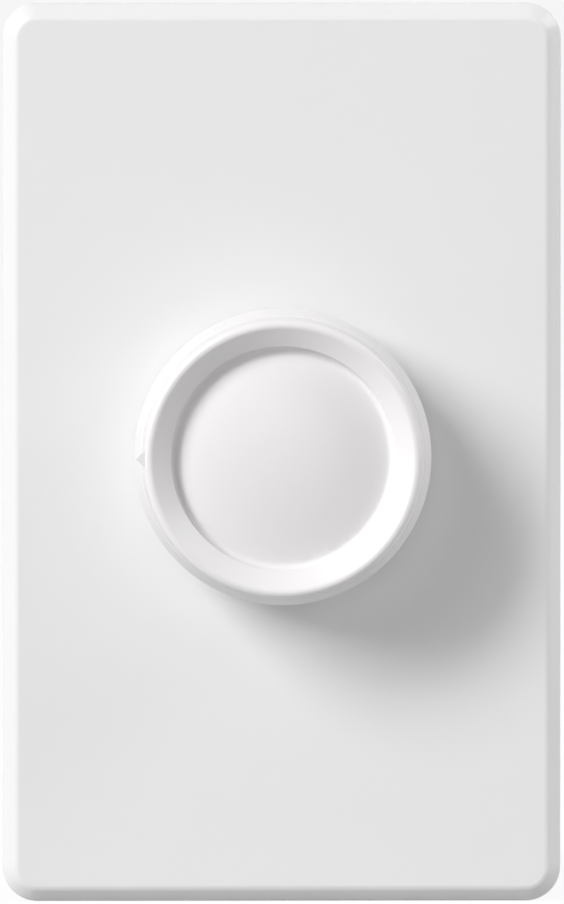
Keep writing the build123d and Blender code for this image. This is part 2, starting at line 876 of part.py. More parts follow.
def circuit_board():
    """Board that carries the components, open in the middle for the line switch."""
    outline = Rectangle(board_width, board_length)
    outline -= Circle(switch_radius + loose_clearance)
    for place in corners(housing_boss_column, housing_boss_row):
        outline -= Pos(*place) * Circle(housing_boss_radius + loose_clearance)
    for place in board_pin_places():
        outline -= Pos(*place) * Circle(pin_radius + seating_clearance)
    lug_row = -wafer_tail_end + lug_thickness / 2
    lug_hole = Rectangle(lug_width + 2 * seating_clearance, lug_thickness + 2 * seating_clearance)
    for column in spread(lug_count, lug_spacing):
        outline -= Pos(column, lug_row) * lug_hole
    hole_width = triac_lead_thickness + 2 * seating_clearance
    lead_hole = Rectangle(hole_width, triac_lead_width + 2 * seating_clearance)
    for row in spread(triac_lead_count, triac_lead_pitch):
        outline -= Pos(triac_lead_column(), triac_row + row) * lead_hole
    return prism(outline, board_back, board_face_height)


def triac_lead_column():
    """Column where the triac's leads turn back into the circuit board."""
    return triac_end + triac_lead_reach


def triac_pad():
    """Insulating pad between the triac and the yoke."""
    left = triac_end - triac_length - pad_margin
    half = triac_width / 2 + pad_margin
    pad = block(left, triac_end + pad_margin, triac_row - half, triac_row + half, -pad_thickness, 0)
    return pad - triac_rivet_hole(-pad_thickness, 0)


def triac_rivet_hole(back, front):
    """Hole for the triac's rivet between two heights."""
    hole = Pos(triac_rivet_column, triac_row) * Circle(triac_rivet_radius + seating_clearance)
    return prism(hole, back, front)


def triac_tab():
    """Metal tab of the triac, clamped flat to the yoke."""
    back = -pad_thickness - triac_tab_thickness
    half = triac_width / 2
    left = triac_end - triac_length
    tab = block(left, triac_end, triac_row - half, triac_row + half, back, -pad_thickness)
    return tab - triac_rivet_hole(back, -pad_thickness)


def triac_body():
    """Moulded package of the triac on its tab."""
    front = -pad_thickness - triac_tab_thickness
    half = triac_width / 2
    left = triac_end - triac_body_length
    body = block(left, triac_end, triac_row - half, triac_row + half, front - triac_body_height, front)
    return chamfer(edges_at(body, front - triac_body_height), triac_body_chamfer)


def triac_leads():
    """Three leads from the package, bent back through the circuit board."""
    middle = -pad_thickness - triac_tab_thickness - triac_body_height / 2
    half = triac_lead_thickness / 2
    column = triac_lead_column()
    leads = []
    for row in spread(triac_lead_count, triac_lead_pitch):
        low = triac_row + row - triac_lead_width / 2
        high = triac_row + row + triac_lead_width / 2
        run = block(triac_end, column + half, low, high, middle - half, middle + half)
        leg = block(column - half, column + half, low, high, board_back - pin_stick_out, middle + half)
        leads.append(run + leg)
    return Part(children=leads)


def triac_rivet():
    """Rivet that clamps the triac's tab and pad to the yoke."""
    tail = -pad_thickness - triac_tab_thickness
    one = rivet(triac_rivet_radius, triac_rivet_head_radius, tail, yoke_front)
    one += prism(Circle(triac_rivet_head_radius), tail - rivet_head_height, tail)
    return Pos(triac_rivet_column, 0, triac_row) * one


def pins(pitch):
    """Two round pins side by side from the board's back through the board."""
    pin = prism(Circle(pin_radius), board_back, board_face_height + pin_stick_out)
    return [Pos(side * pitch / 2, 0, 0) * pin for side in (-1, 1)]


def choke_pin_pitch():
    """Distance between the choke's pins, which stand under the middle of its winding."""
    return choke_outer_radius + choke_inner_radius


def choke_core():
    """Ring core of the choke."""
    front = board_back - winding_thickness
    core = prism(ring(choke_outer_radius, choke_inner_radius), front - choke_core_height, front)
    return Pos(choke_column, 0, choke_row) * core


def choke_winding():
    """Wire wound round the core, with a groove between each turn and the next."""
    back = board_back - choke_core_height - 2 * winding_thickness
    outer = choke_outer_radius + winding_thickness
    inner = choke_inner_radius - winding_thickness
    coil = prism(ring(outer, inner), back, board_back)
    core_front = board_back - winding_thickness
    core = ring(choke_outer_radius, choke_inner_radius)
    coil -= prism(core, core_front - choke_core_height, core_front)
    half = winding_groove / 2
    for index in range(winding_turns):
        groove = block(outer - winding_groove_depth, outer, -half, half, back, board_back)
        coil -= groove.rotate(Axis.Y, index * 360 / winding_turns)
    for pin in pins(choke_pin_pitch()):
        coil += pin
    return Pos(choke_column, 0, choke_row) * coil


def boxed_capacitor(length, width, height, pitch):
    """Rounded capacitor block that stands on the back of the board on two pins."""
    back = board_back - height
    body = prism(RectangleRounded(length, width, capacitor_rounding), back, board_back)
    body = fillet(edges_at(body, back), capacitor_rounding)
    for pin in pins(pitch):
        body += pin
    return body


def filter_capacitor():
    """Film capacitor across the line."""
    body = boxed_capacitor(filter_length, filter_width, filter_height, filter_pin_pitch)
    return Pos(filter_column, 0, filter_row) * body


def timing_capacitor():
    """Small capacitor that sets the firing delay with the resistance track."""
    body = boxed_capacitor(timing_length, timing_width, timing_height, timing_pin_pitch)
    return Pos(timing_column, 0, timing_row) * body


def axial_part(radius, length):
    """Round component that lies along a column on the back of the board with bent leads."""
    middle = board_back - radius
    tip = board_face_height + pin_stick_out
    half = axial_pin_pitch / 2
    run = Pos(0, -middle, 0) * Cylinder(pin_radius, axial_pin_pitch)
    leg = prism(Circle(pin_radius), middle, tip)
    for side in (-1, 1):
        bend = Pos(0, -middle, side * half)
        run += bend * Sphere(pin_radius)
        run += Pos(0, 0, side * half) * leg
    return run + Pos(0, -middle, 0) * Cylinder(radius, length)


def timing_resistor():
    """Resistor in line with the resistance track."""
    return Pos(axial_column, 0, 0) * axial_part(resistor_radius, resistor_length)


def trigger_diac():
    """Trigger diode that fires the triac."""
    return Pos(-axial_column, 0, 0) * axial_part(diac_radius, diac_length)


nodes = {
    "wall_plate": wall_plate,
    "adapter_frame": adapter_frame,
    "adapter_screws": adapter_screws,
    "mounting_yoke": mounting_yoke,
    "box_screws": box_screws,
    "screw_retainers": screw_retainers,
    "back_housing": back_housing,
    "housing_rivets": housing_rivets,
    "knob": knob,
    "knob_spring": knob_spring,
    "control_shaft": control_shaft,
    "shaft_clip": shaft_clip,
    "shaft_bush": shaft_bush,
    "lock_washer": lock_washer,
    "bush_nut": bush_nut,
    "resistance_wafer": resistance_wafer,
    "element_lugs": element_lugs,
    "element_rotor": element_rotor,
    "element_wiper": element_wiper,
    "element_can": element_can,
    "switch_base": switch_base,
    "switch_blade": switch_blade,
    "switch_contact": switch_contact,
    "switch_cam": switch_cam,
    "circuit_board": circuit_board,
    "triac_pad": triac_pad,
    "triac_tab": triac_tab,
    "triac_body": triac_body,
    "triac_leads": triac_leads,
    "triac_rivet": triac_rivet,
    "choke_core": choke_core,
    "choke_winding": choke_winding,
    "filter_capacitor": filter_capacitor,
    "timing_capacitor": timing_capacitor,
    "timing_resistor": timing_resistor,
    "trigger_diac": trigger_diac,
}

os.makedirs("parts", exist_ok=True)
for name, make in nodes.items():
    export_step(make(), f"parts/{name}.step")
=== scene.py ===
"""Looks of the rotary fan speed control: fine meshes, finishes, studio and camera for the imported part."""
import logging
import math
from dataclasses import dataclass
from enum import Enum
from typing import Any, Iterable, Optional

import bmesh
import bpy
from bmesh.types import BMEdge, BMesh, BMFace, BMVert
from bpy.types import Material, Node, NodeSocket, NodeTree
from mathutils import Matrix, Vector


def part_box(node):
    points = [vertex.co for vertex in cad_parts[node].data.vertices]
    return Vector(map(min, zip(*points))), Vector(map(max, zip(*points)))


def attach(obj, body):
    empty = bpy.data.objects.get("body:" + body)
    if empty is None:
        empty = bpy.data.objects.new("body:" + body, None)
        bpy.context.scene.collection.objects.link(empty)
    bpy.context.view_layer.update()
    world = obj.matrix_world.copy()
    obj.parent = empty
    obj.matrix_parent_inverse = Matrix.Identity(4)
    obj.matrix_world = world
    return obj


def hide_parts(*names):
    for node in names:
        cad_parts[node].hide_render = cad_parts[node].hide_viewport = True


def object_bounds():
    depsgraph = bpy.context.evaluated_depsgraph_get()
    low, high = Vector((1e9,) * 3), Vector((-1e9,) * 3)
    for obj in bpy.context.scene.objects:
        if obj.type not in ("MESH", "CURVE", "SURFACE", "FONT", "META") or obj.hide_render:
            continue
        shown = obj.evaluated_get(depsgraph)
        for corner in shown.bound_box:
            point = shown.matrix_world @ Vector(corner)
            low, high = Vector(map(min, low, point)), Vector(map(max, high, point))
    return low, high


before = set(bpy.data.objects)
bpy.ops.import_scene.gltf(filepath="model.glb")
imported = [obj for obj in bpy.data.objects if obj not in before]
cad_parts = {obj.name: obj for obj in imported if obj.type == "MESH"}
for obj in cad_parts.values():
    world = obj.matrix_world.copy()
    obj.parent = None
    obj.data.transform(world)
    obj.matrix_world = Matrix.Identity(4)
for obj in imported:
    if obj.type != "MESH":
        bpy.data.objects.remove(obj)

log = logging.getLogger("fan_control")

# Metres in a millimetre, the way out of the wall and the way of the control axis
MM = 0.001
FRONT = Vector((0.0, -1.0, 0.0))
AXIS = Vector((0.0, 1.0, 0.0))

# Turn that stands a flat shape up to face the room
UPRIGHT = Matrix.Rotation(math.pi / 2, 3, "X")

# Radius and height of a corner of a half section, in millimetres
Corner = tuple[float, float]

# Distances under which points are the same, lie on one ring, or are merged after a turn
NEAR = 0.001 * MM
RING_NEAR = 0.004 * MM
MERGE = 0.0005 * MM

# Faces across a fine rounding, and height of a triangle against its circle's radius
FINE_SEGMENTS = 3
TRIANGLE_HEIGHT = 1.5

# Octaves of a broad and of a fine noise, and the values that most of a noise lies between
CLOUD_DETAIL = 3.0
GRAIN_DETAIL = 2.0
NOISE_LOW, NOISE_HIGH = 0.3, 0.7

# Top of an sRGB channel, and the standard curve that turns its share to light
SRGB_TOP, SRGB_KNEE, SRGB_SLOPE, SRGB_OFFSET, SRGB_POWER = 255, 0.04045, 12.92, 0.055, 2.4

# Sockets of a Mix node that is set to colours
MIX_SHARE, MIX_FROM, MIX_TO, MIX_RESULT = 0, 6, 7, 2

WHITE = "#FFFFFF"
CAD_BOX = [list(corner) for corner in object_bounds()]


class Body(Enum):
    """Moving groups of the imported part."""

    FIXED = "body"
    KNOB = "knob"


def linear(code: str) -> tuple[float, float, float, float]:
    """Turn an sRGB hex colour into linear values by the standard curve.

    Args:
        code: Colour such as "#E8E8E6".

    Returns:
        Linear red, green, blue and an alpha of one.
    """
    shares = [int(code[i:i + 2], 16) / SRGB_TOP for i in (1, 3, 5)]
    values = [
        s / SRGB_SLOPE if s <= SRGB_KNEE else ((s + SRGB_OFFSET) / (1 + SRGB_OFFSET)) ** SRGB_POWER
        for s in shares
    ]
    return values[0], values[1], values[2], 1.0


def add_node(tree: NodeTree, kind: str, inputs: Optional[dict] = None, **settings: Any) -> Node:
    """Add one node, with its settings, values and links.

    Args:
        tree: Node tree that gets the node.
        kind: The node's type name.
        inputs: Value or output socket for each input, by name or number.
        **settings: The node's own options.

    Returns:
        The new node.
    """
    node = tree.nodes.new(kind)
    for name, value in settings.items():
        setattr(node, name, value)
    for key, value in (inputs or {}).items():
        if isinstance(value, NodeSocket):
            tree.links.new(value, node.inputs[key])
        else:
            node.inputs[key].default_value = value
    return node


@dataclass(frozen=True)
class Finish:
    """A real material with the way its surface was made.

    Attributes:
        name: Material and process.
        light: Colour of the lighter places.
        dark: Colour of the darker places.
        smooth: Roughness of the smoother places.
        rough: Roughness of the rougher places.
        metallic: One for bare metal, else zero.
        ior: Index of refraction.
        cloud_mm: Size of the broad changes in tone.
        grain_mm: Size of the surface's fine grain.
        relief_mm: Depth of the fine grain.
    """

    name: str
    light: str
    dark: str
    smooth: float
    rough: float
    metallic: float = 0.0
    ior: float = 1.5
    cloud_mm: float = 12.0
    grain_mm: float = 0.3
    relief_mm: float = 0.003

    def tone(self, tree: NodeTree, place: NodeSocket) -> NodeSocket:
        """Draw the broad changes in tone.

        Args:
            tree: The material's nodes.
            place: Coordinates of the pattern.

        Returns:
            Socket from zero, dark, to one, light.
        """
        noise = {"Vector": place, "Scale": 1 / (self.cloud_mm * MM), "Detail": CLOUD_DETAIL}
        return add_node(tree, "ShaderNodeTexNoise", noise).outputs["Fac"]

    def grain(self, tree: NodeTree, place: NodeSocket) -> NodeSocket:
        """Draw the fine grain as a height from zero to one."""
        noise = {"Vector": place, "Scale": 1 / (self.grain_mm * MM), "Detail": GRAIN_DETAIL}
        return add_node(tree, "ShaderNodeTexNoise", noise).outputs["Fac"]

    def material(self) -> Material:
        """Make the material the first time and give the same one afterwards.

        Returns:
            The finish as a material.
        """
        made = bpy.data.materials.get(self.name)
        if made is not None:
            return made
        made = bpy.data.materials.new(self.name)
        made.use_nodes = True
        tree = made.node_tree
        tree.nodes.clear()
        place = add_node(tree, "ShaderNodeTexCoord").outputs["Object"]
        tone = self.tone(tree, place)
        grain = self.grain(tree, place)
        colour = add_node(
            tree,
            "ShaderNodeMix",
            {MIX_SHARE: tone, MIX_FROM: linear(self.dark), MIX_TO: linear(self.light)},
            data_type="RGBA",
        )
        roughness = add_node(
            tree,
            "ShaderNodeMapRange",
            {
                "Value": grain,
                "From Min": NOISE_LOW,
                "From Max": NOISE_HIGH,
                "To Min": self.smooth,
                "To Max": self.rough,
            },
        )
        relief = {"Height": grain, "Distance": self.relief_mm * MM, "Strength": 1.0}
        bump = add_node(tree, "ShaderNodeBump", relief)
        shader = add_node(
            tree,
            "ShaderNodeBsdfPrincipled",
            {
                "Base Color": colour.outputs[MIX_RESULT],
                "Roughness": roughness.outputs["Result"],
                "Normal": bump.outputs["Normal"],
                "Metallic": self.metallic,
                "IOR": self.ior,
            },
        )
        add_node(tree, "ShaderNodeOutputMaterial", {"Surface": shader.outputs["BSDF"]})
        return made


@dataclass(frozen=True)
class RolledSheet(Finish):
    """Sheet metal with fine lines that run up and down, as the rolls left them.

    Attributes:
        line_mm: Length of one roll line.
    """

    line_mm: float = 14.0

    def grain(self, tree: NodeTree, place: NodeSocket) -> NodeSocket:
        """Draw the roll lines, which are long along Z and narrow across it.

        Args:
            tree: The material's nodes.
            place: Coordinates of the pattern.

        Returns:
            Socket with the lines' height from zero to one.
        """
        scale = Vector((1 / self.grain_mm, 1 / self.grain_mm, 1 / self.line_mm)) / MM
        stretched = add_node(tree, "ShaderNodeMapping", {"Vector": place, "Scale": scale})
        noise = {"Vector": stretched.outputs["Vector"], "Scale": 1.0, "Detail": CLOUD_DETAIL}
        return add_node(tree, "ShaderNodeTexNoise", noise).outputs["Fac"]


@dataclass(frozen=True)
class Flecked(Finish):
    """Board or fibre with flecks that stand out in its tone.

    Attributes:
        fleck_mm: Size of one fleck.
    """

    fleck_mm: float = 0.8

    def tone(self, tree: NodeTree, place: NodeSocket) -> NodeSocket:
        """Draw flecks as the cells of a cell pattern."""
        cells = {"Vector": place, "Scale": 1 / (self.fleck_mm * MM)}
        return add_node(tree, "ShaderNodeTexVoronoi", cells).outputs["Distance"]


@dataclass(frozen=True)
class Woven(Finish):
    """Laminate whose glass or cotton cloth shows as a fine weave.

    Attributes:
        thread_mm: Spacing of the cloth's threads.
        waver: How far the threads stray from a straight line.
    """

    thread_mm: float = 0.5
    waver: float = 0.6

    def tone(self, tree: NodeTree, place: NodeSocket) -> NodeSocket:
        """Draw the two sets of threads and multiply them.

        Args:
            tree: The material's nodes.
            place: Coordinates of the pattern.

        Returns:
            Socket from zero, dark, to one, light.
        """
        scale = 1 / (self.thread_mm * MM) / math.tau
        sets = [
            add_node(
                tree,
                "ShaderNodeTexWave",
                {"Vector": place, "Scale": scale, "Distortion": self.waver},
                bands_direction=direction,
            ).outputs["Fac"]
            for direction in ("X", "Z")
        ]
        cloth = add_node(tree, "ShaderNodeMath", {0: sets[0], 1: sets[1]}, operation="MULTIPLY")
        return cloth.outputs["Value"]


# White ABS from a polished, lightly blasted tool: even, satin, with soft highlights
PLATE_WHITE = Finish(
    "moulded white ABS, plate", light="#EAEAEB", dark="#E8E8E9", smooth=0.36, rough=0.42,
    ior=1.54, cloud_mm=30, grain_mm=0.35, relief_mm=0.0012,
)
KNOB_WHITE = Finish(
    "moulded white ABS, knob", light="#ECEAEB", dark="#EAE8E9", smooth=0.34, rough=0.40,
    ior=1.54, cloud_mm=20, grain_mm=0.3, relief_mm=0.0010,
)
# White polycarbonate straight from the tool: flat, matt and a little warmer
ADAPTER_WHITE = Finish(
    "moulded white polycarbonate, adapter", light="#E6E5E0", dark="#DFDDD7", smooth=0.5, rough=0.62,
    ior=1.58, grain_mm=0.4, relief_mm=0.006,
)
# Aluminium sheet as rolled: bright grey with fine vertical lines
YOKE_ALUMINIUM = RolledSheet(
    "rolled aluminium sheet, yoke", light="#D6D8DA", dark="#BFC2C5", smooth=0.28, rough=0.46,
    metallic=1.0, grain_mm=0.25, relief_mm=0.003,
)
# Black glass-filled nylon with a spark-eroded skin: dull, with a fine even texture
HOUSING_BLACK = Finish(
    "moulded black nylon, housing", light="#35363A", dark="#2A2B2E", smooth=0.42, rough=0.62,
    ior=1.53, cloud_mm=9, grain_mm=0.45, relief_mm=0.02,
)
# Zinc-plated steel: bluish bright metal with cloudy passivation
ZINC_STEEL = Finish(
    "zinc plated steel", light="#CFD3D8", dark="#AEB4BC", smooth=0.24, rough=0.42,
    metallic=1.0, cloud_mm=1.6, grain_mm=0.2, relief_mm=0.002,
)
# Drawn aluminium wire upset into rivets: bright with small scuffs
RIVET_ALUMINIUM = Finish(
    "upset aluminium rivet", light="#DCDDDE", dark="#C6C8CA", smooth=0.26, rough=0.4,
    metallic=1.0, cloud_mm=1.2, grain_mm=0.15, relief_mm=0.002,
)
# Nickel over turned brass: warm white metal
NICKEL_BRASS = Finish(
    "nickel plated brass", light="#D8D4C8", dark="#BDB7A8", smooth=0.2, rough=0.34,
    metallic=1.0, cloud_mm=1.5, grain_mm=0.15, relief_mm=0.0015,
)
# Phosphor bronze strip, blanked and formed: reddish yellow with rolled lines
SPRING_BRONZE = RolledSheet(
    "blanked phosphor bronze", light="#D6A866", dark="#B4854A", smooth=0.26, rough=0.42,
    metallic=1.0, grain_mm=0.12, relief_mm=0.001, line_mm=3.0,
)
# Blued spring steel: dark blue grey
SPRING_STEEL = RolledSheet(
    "blued spring steel", light="#6E7480", dark="#4B515C", smooth=0.28, rough=0.44,
    metallic=1.0, grain_mm=0.12, relief_mm=0.001, line_mm=4.0,
)
# Vulcanised fibre: tan card with darker fibres
FIBRE = Flecked(
    "vulcanised fibre", light="#C3A47C", dark="#9C7B54", smooth=0.62, rough=0.8,
    grain_mm=0.25, relief_mm=0.02, fleck_mm=0.7,
)
# Natural acetal, turned: off-white and slightly waxy
ACETAL = Finish(
    "turned natural acetal", light="#E4E1D8", dark="#D8D4C9", smooth=0.3, rough=0.42,
    ior=1.48, cloud_mm=3.0, grain_mm=0.2, relief_mm=0.002,
)
# Natural nylon, moulded: cream with a soft gloss
NYLON = Finish(
    "moulded natural nylon", light="#DDD8C8", dark="#CFC8B4", smooth=0.34, rough=0.46,
    ior=1.53, cloud_mm=3.0, grain_mm=0.25, relief_mm=0.003,
)
# Phenolic paper laminate, punched: brown with a papery weave
PHENOLIC = Woven(
    "punched phenolic laminate", light="#7A5230", dark="#5C3A20", smooth=0.4, rough=0.56,
    ior=1.6, grain_mm=0.2, relief_mm=0.004, thread_mm=0.35,
)
# Glass-epoxy board under green solder mask: gloss with the glass weave showing through
BOARD = Woven(
    "solder masked glass epoxy board", light="#2F6B3A", dark="#21522B", smooth=0.24, rough=0.36,
    ior=1.55, grain_mm=0.3, relief_mm=0.004, thread_mm=0.6,
)
# Transfer-moulded epoxy: near black, matt
EPOXY = Finish(
    "moulded black epoxy", light="#2B2C2E", dark="#202123", smooth=0.5, rough=0.66,
    ior=1.55, cloud_mm=2.5, grain_mm=0.2, relief_mm=0.006,
)
# Tin over copper: soft grey metal
TINNED_COPPER = Finish(
    "tin plated copper", light="#CFCFCC", dark="#B1B1AC", smooth=0.3, rough=0.46,
    metallic=1.0, cloud_mm=1.0, grain_mm=0.15, relief_mm=0.002,
)
# Silicone sheet on glass cloth: grey and dull
SILICONE = Woven(
    "silicone coated glass cloth", light="#A9ADB3", dark="#93979D", smooth=0.7, rough=0.84,
    ior=1.41, grain_mm=0.3, relief_mm=0.008, thread_mm=0.5,
)
# Pressed iron powder under a coat of yellow paint: grainy gloss
IRON_POWDER = Finish(
    "painted iron powder core", light="#D0B23C", dark="#B59629", smooth=0.36, rough=0.55,
    ior=1.5, cloud_mm=1.5, grain_mm=0.18, relief_mm=0.012,
)
# Copper wire under clear enamel: deep orange metal
ENAMELLED_COPPER = Finish(
    "enamelled copper wire", light="#C8703A", dark="#A5531F", smooth=0.2, rough=0.32,
    metallic=1.0, cloud_mm=1.2, grain_mm=0.2, relief_mm=0.003,
)
# Film capacitor in a cast yellow box: smooth gloss
FILM_BOX = Finish(
    "cast film capacitor case", light="#D9AE35", dark="#CFA22B", smooth=0.26, rough=0.36,
    ior=1.5, cloud_mm=4.0, grain_mm=0.3, relief_mm=0.002,
)
# Dipped coat: reddish brown with a runny gloss
DIPPED_COAT = Finish(
    "dip coated capacitor", light="#A64A2E", dark="#8B3820", smooth=0.2, rough=0.32,
    ior=1.52, cloud_mm=2.0, grain_mm=0.8, relief_mm=0.03,
)
# Lacquered carbon film resistor: tan gloss
LACQUER = Finish(
    "lacquered resistor", light="#CDB48A", dark="#BEA377", smooth=0.24, rough=0.36,
    ior=1.5, cloud_mm=1.5, grain_mm=0.3, relief_mm=0.006,
)
# Glass-sealed diode: amber and glossy
DIODE_GLASS = Finish(
    "glass sealed diode", light="#C98250", dark="#AE6636", smooth=0.1, rough=0.2,
    ior=1.52, cloud_mm=1.0, grain_mm=0.3, relief_mm=0.001,
)


def verts_of(geometry: Iterable) -> list[BMVert]:
    """Pick the vertices out of mixed geometry."""
    return [g for g in geometry if isinstance(g, BMVert)]


def turn_about_axis(bm: BMesh, steps: int) -> None:
    """Turn a half section once round the control axis and close its seam and poles.

    Args:
        bm: Mesh that holds the section and nothing else.
        steps: Number of divisions of the full turn.
    """
    bmesh.ops.spin(
        bm,
        geom=[*bm.verts, *bm.edges],
        cent=(0, 0, 0),
        axis=AXIS,
        angle=math.tau,
        steps=steps,
        use_merge=True,
    )
    bmesh.ops.remove_doubles(bm, verts=bm.verts, dist=MERGE)
    bmesh.ops.dissolve_degenerate(bm, edges=bm.edges, dist=MERGE)
    bmesh.ops.recalc_face_normals(bm, faces=bm.faces)


def chain(bm: BMesh, corners: Iterable[Corner], start: Optional[BMVert] = None) -> list:
    """Draw a half section as a chain of edges.

    Args:
        bm: Mesh that gets the chain.
        corners: The section's corners.
        start: Vertex that the chain goes on from.

    Returns:
        The chain's new vertices and edges.
    """
    made: list = []
    last = start
    for radius, height in corners:
        vert = bm.verts.new((radius * MM, -height * MM, 0))
        made.append(vert)
        if last is not None:
            made.append(bm.edges.new((last, vert)))
        last = vert
    return made


def arc_from(bm: BMesh, start: BMVert, centre: Corner, angle: float, steps: int) -> BMVert:
    """Draw an arc of a half section from one of its vertices on.

    Args:
        bm: Mesh that holds the section.
        start: Vertex where the arc starts.
        centre: Radius and height of the arc's centre, in millimetres.
        angle: Angle that the arc turns through, in radians.
        steps: Number of edges along the arc.

    Returns:
        The arc's last vertex.
    """
    arc = bmesh.ops.spin(
        bm,
        geom=[start],
        cent=(centre[0] * MM, -centre[1] * MM, 0),
        axis=(0, 0, 1),
        angle=angle,
        steps=steps,
    )
    return verts_of(arc["geom_last"])[0]


def corner_arc(
    bm: BMesh,
    before: Corner,
    corner: Corner,
    after: Corner,
    radius: float,
    steps: int,
    start: BMVert,
) -> BMVert:
    """Draw the arc that rounds one corner of a half section.

    Args:
        bm: Mesh that holds the section.
        before: The corner before.
        corner: The corner that is rounded.
        after: The corner after.
        radius: The arc's radius in millimetres.
        steps: Number of edges along the arc.
        start: Vertex that the arc's first edge goes on from.

    Returns:
        The arc's last vertex.
    """
    middle = Vector(corner)
    back = (Vector(before) - middle).normalized()
    ahead = (Vector(after) - middle).normalized()
    half = back.angle(ahead) / 2
    centre = middle + (back + ahead).normalized() * radius / math.sin(half)
    first = chain(bm, [tuple(middle + back * radius / math.tan(half))], start)[0]
    return arc_from(bm, first, tuple(centre), math.pi - 2 * half, steps)


def ring_edges(bm: BMesh, radius: float, height: float) -> list[BMEdge]:
    """Find the edges of one ring round the control axis.

    Args:
        bm: Turned mesh.
        radius: The ring's radius in millimetres.
        height: The ring's height in millimetres.

    Returns:
        The ring's edges.
    """

    def on_ring(vert: BMVert) -> bool:
        """Tell whether a vertex lies on the ring."""
        here = math.hypot(vert.co.x, vert.co.z)
        return abs(here - radius * MM) < RING_NEAR and abs(vert.co.y + height * MM) < RING_NEAR

    return [e for e in bm.edges if on_ring(e.verts[0]) and on_ring(e.verts[1])]


def level_edges(bm: BMesh, height: float) -> list[BMEdge]:
    """Find the edges that lie at one height, in metres in front of the wall.

    Args:
        bm: Mesh to search.
        height: Height of the edges.

    Returns:
        The edges at that height.
    """
    return [e for e in bm.edges if all(abs(v.co.y + height) < NEAR for v in e.verts)]


def round_off(bm: BMesh, geometry: list, setback: float, segments: int, affect: str = "EDGES") -> None:
    """Round edges, or the corners of a flat sheet, with an arc.

    Args:
        bm: Mesh that holds them.
        geometry: Edges or corners to round.
        setback: Distance from the edge or corner to where the arc starts, in millimetres.
        segments: Number of divisions of the arc.
        affect: "EDGES", or "VERTICES" for corners.
    """
    bmesh.ops.bevel(
        bm,
        geom=geometry,
        offset=setback * MM,
        offset_type="OFFSET",
        segments=segments,
        profile=0.5,
        affect=affect,
        clamp_overlap=True,
        material=-1,
    )


def rounded_sheet(bm: BMesh, width: float, height: float, radius: float, segments: int) -> BMFace:
    """Draw a flat sheet with round corners at the wall plane, facing the room.

    Args:
        bm: Mesh that gets the sheet.
        width: Width in metres.
        height: Height in metres.
        radius: Corner radius in millimetres.
        segments: Edges along each corner.

    Returns:
        The sheet's face.
    """
    corners = bmesh.ops.create_grid(bm, x_segments=1, y_segments=1, size=0.5)["verts"]
    bmesh.ops.scale(bm, verts=corners, vec=(width, height, 1))
    bmesh.ops.rotate(bm, verts=corners, cent=(0, 0, 0), matrix=UPRIGHT)
    round_off(bm, corners, radius, segments, "VERTICES")
    bm.faces.ensure_lookup_table()
    return bm.faces[-1]


def pushed(bm: BMesh, face: BMFace, travel: Vector) -> BMFace:
    """Extrude one face.

    Args:
        bm: Mesh that holds the face.
        face: Face to extrude.
        travel: Way that the new face goes.

    Returns:
        The new face.
    """
    made = bmesh.ops.extrude_face_region(bm, geom=[face])["geom"]
    bmesh.ops.translate(bm, verts=verts_of(made), vec=travel)
    return next(g for g in made if isinstance(g, BMFace))


def box(bm: BMesh, low: Vector, high: Vector) -> list[BMVert]:
    """Add a straight block between two corners.

    Args:
        bm: Mesh that gets the block.
        low: Corner with the least coordinates, in metres.
        high: Corner with the greatest coordinates, in metres.

    Returns:
        The block's vertices.
    """
    size = high - low
    place = Matrix.Translation((low + high) / 2) @ Matrix.Diagonal((*size, 1))
    return bmesh.ops.create_cube(bm, size=1.0, matrix=place)["verts"]


def joined(bm: BMesh, other: BMesh) -> None:
    """Add the other mesh to the first one and free it.

    Args:
        bm: Mesh that grows.
        other: Mesh that goes into it.
    """
    carrier = bpy.data.meshes.new("carrier")
    other.to_mesh(carrier)
    other.free()
    bm.from_mesh(carrier)
    bpy.data.meshes.remove(carrier)


@dataclass
class Piece:
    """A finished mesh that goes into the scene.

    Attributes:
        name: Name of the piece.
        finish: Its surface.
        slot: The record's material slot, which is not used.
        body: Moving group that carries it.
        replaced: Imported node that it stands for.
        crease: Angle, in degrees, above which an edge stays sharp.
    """

    name: str
    finish: Finish
    slot: str
    body: Body
    replaced: str
    crease: float = 32.0

    def add(self, bm: BMesh) -> None:
        """Turn the mesh into an object on its body.

        Args:
            bm: The finished mesh, which is freed.
        """
        mesh = bpy.data.meshes.new(self.name)
        bm.to_mesh(mesh)
        bm.free()
        mesh.shade_smooth()
        mesh.set_sharp_from_angle(angle=math.radians(self.crease))
        mesh.materials.append(self.finish.material())
        made = bpy.data.objects.new(self.name, mesh)
        bpy.context.scene.collection.objects.link(made)
        # Flat faces shade flat up to their rounded edges
        shading = made.modifiers.new("even_shading", "WEIGHTED_NORMAL")
        shading.mode = "FACE_AREA"
        shading.keep_sharp = True
        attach(made, self.body.value)
        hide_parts(self.replaced)
        log.info("%s: %d faces on %s", self.name, len(mesh.polygons), self.body.value)


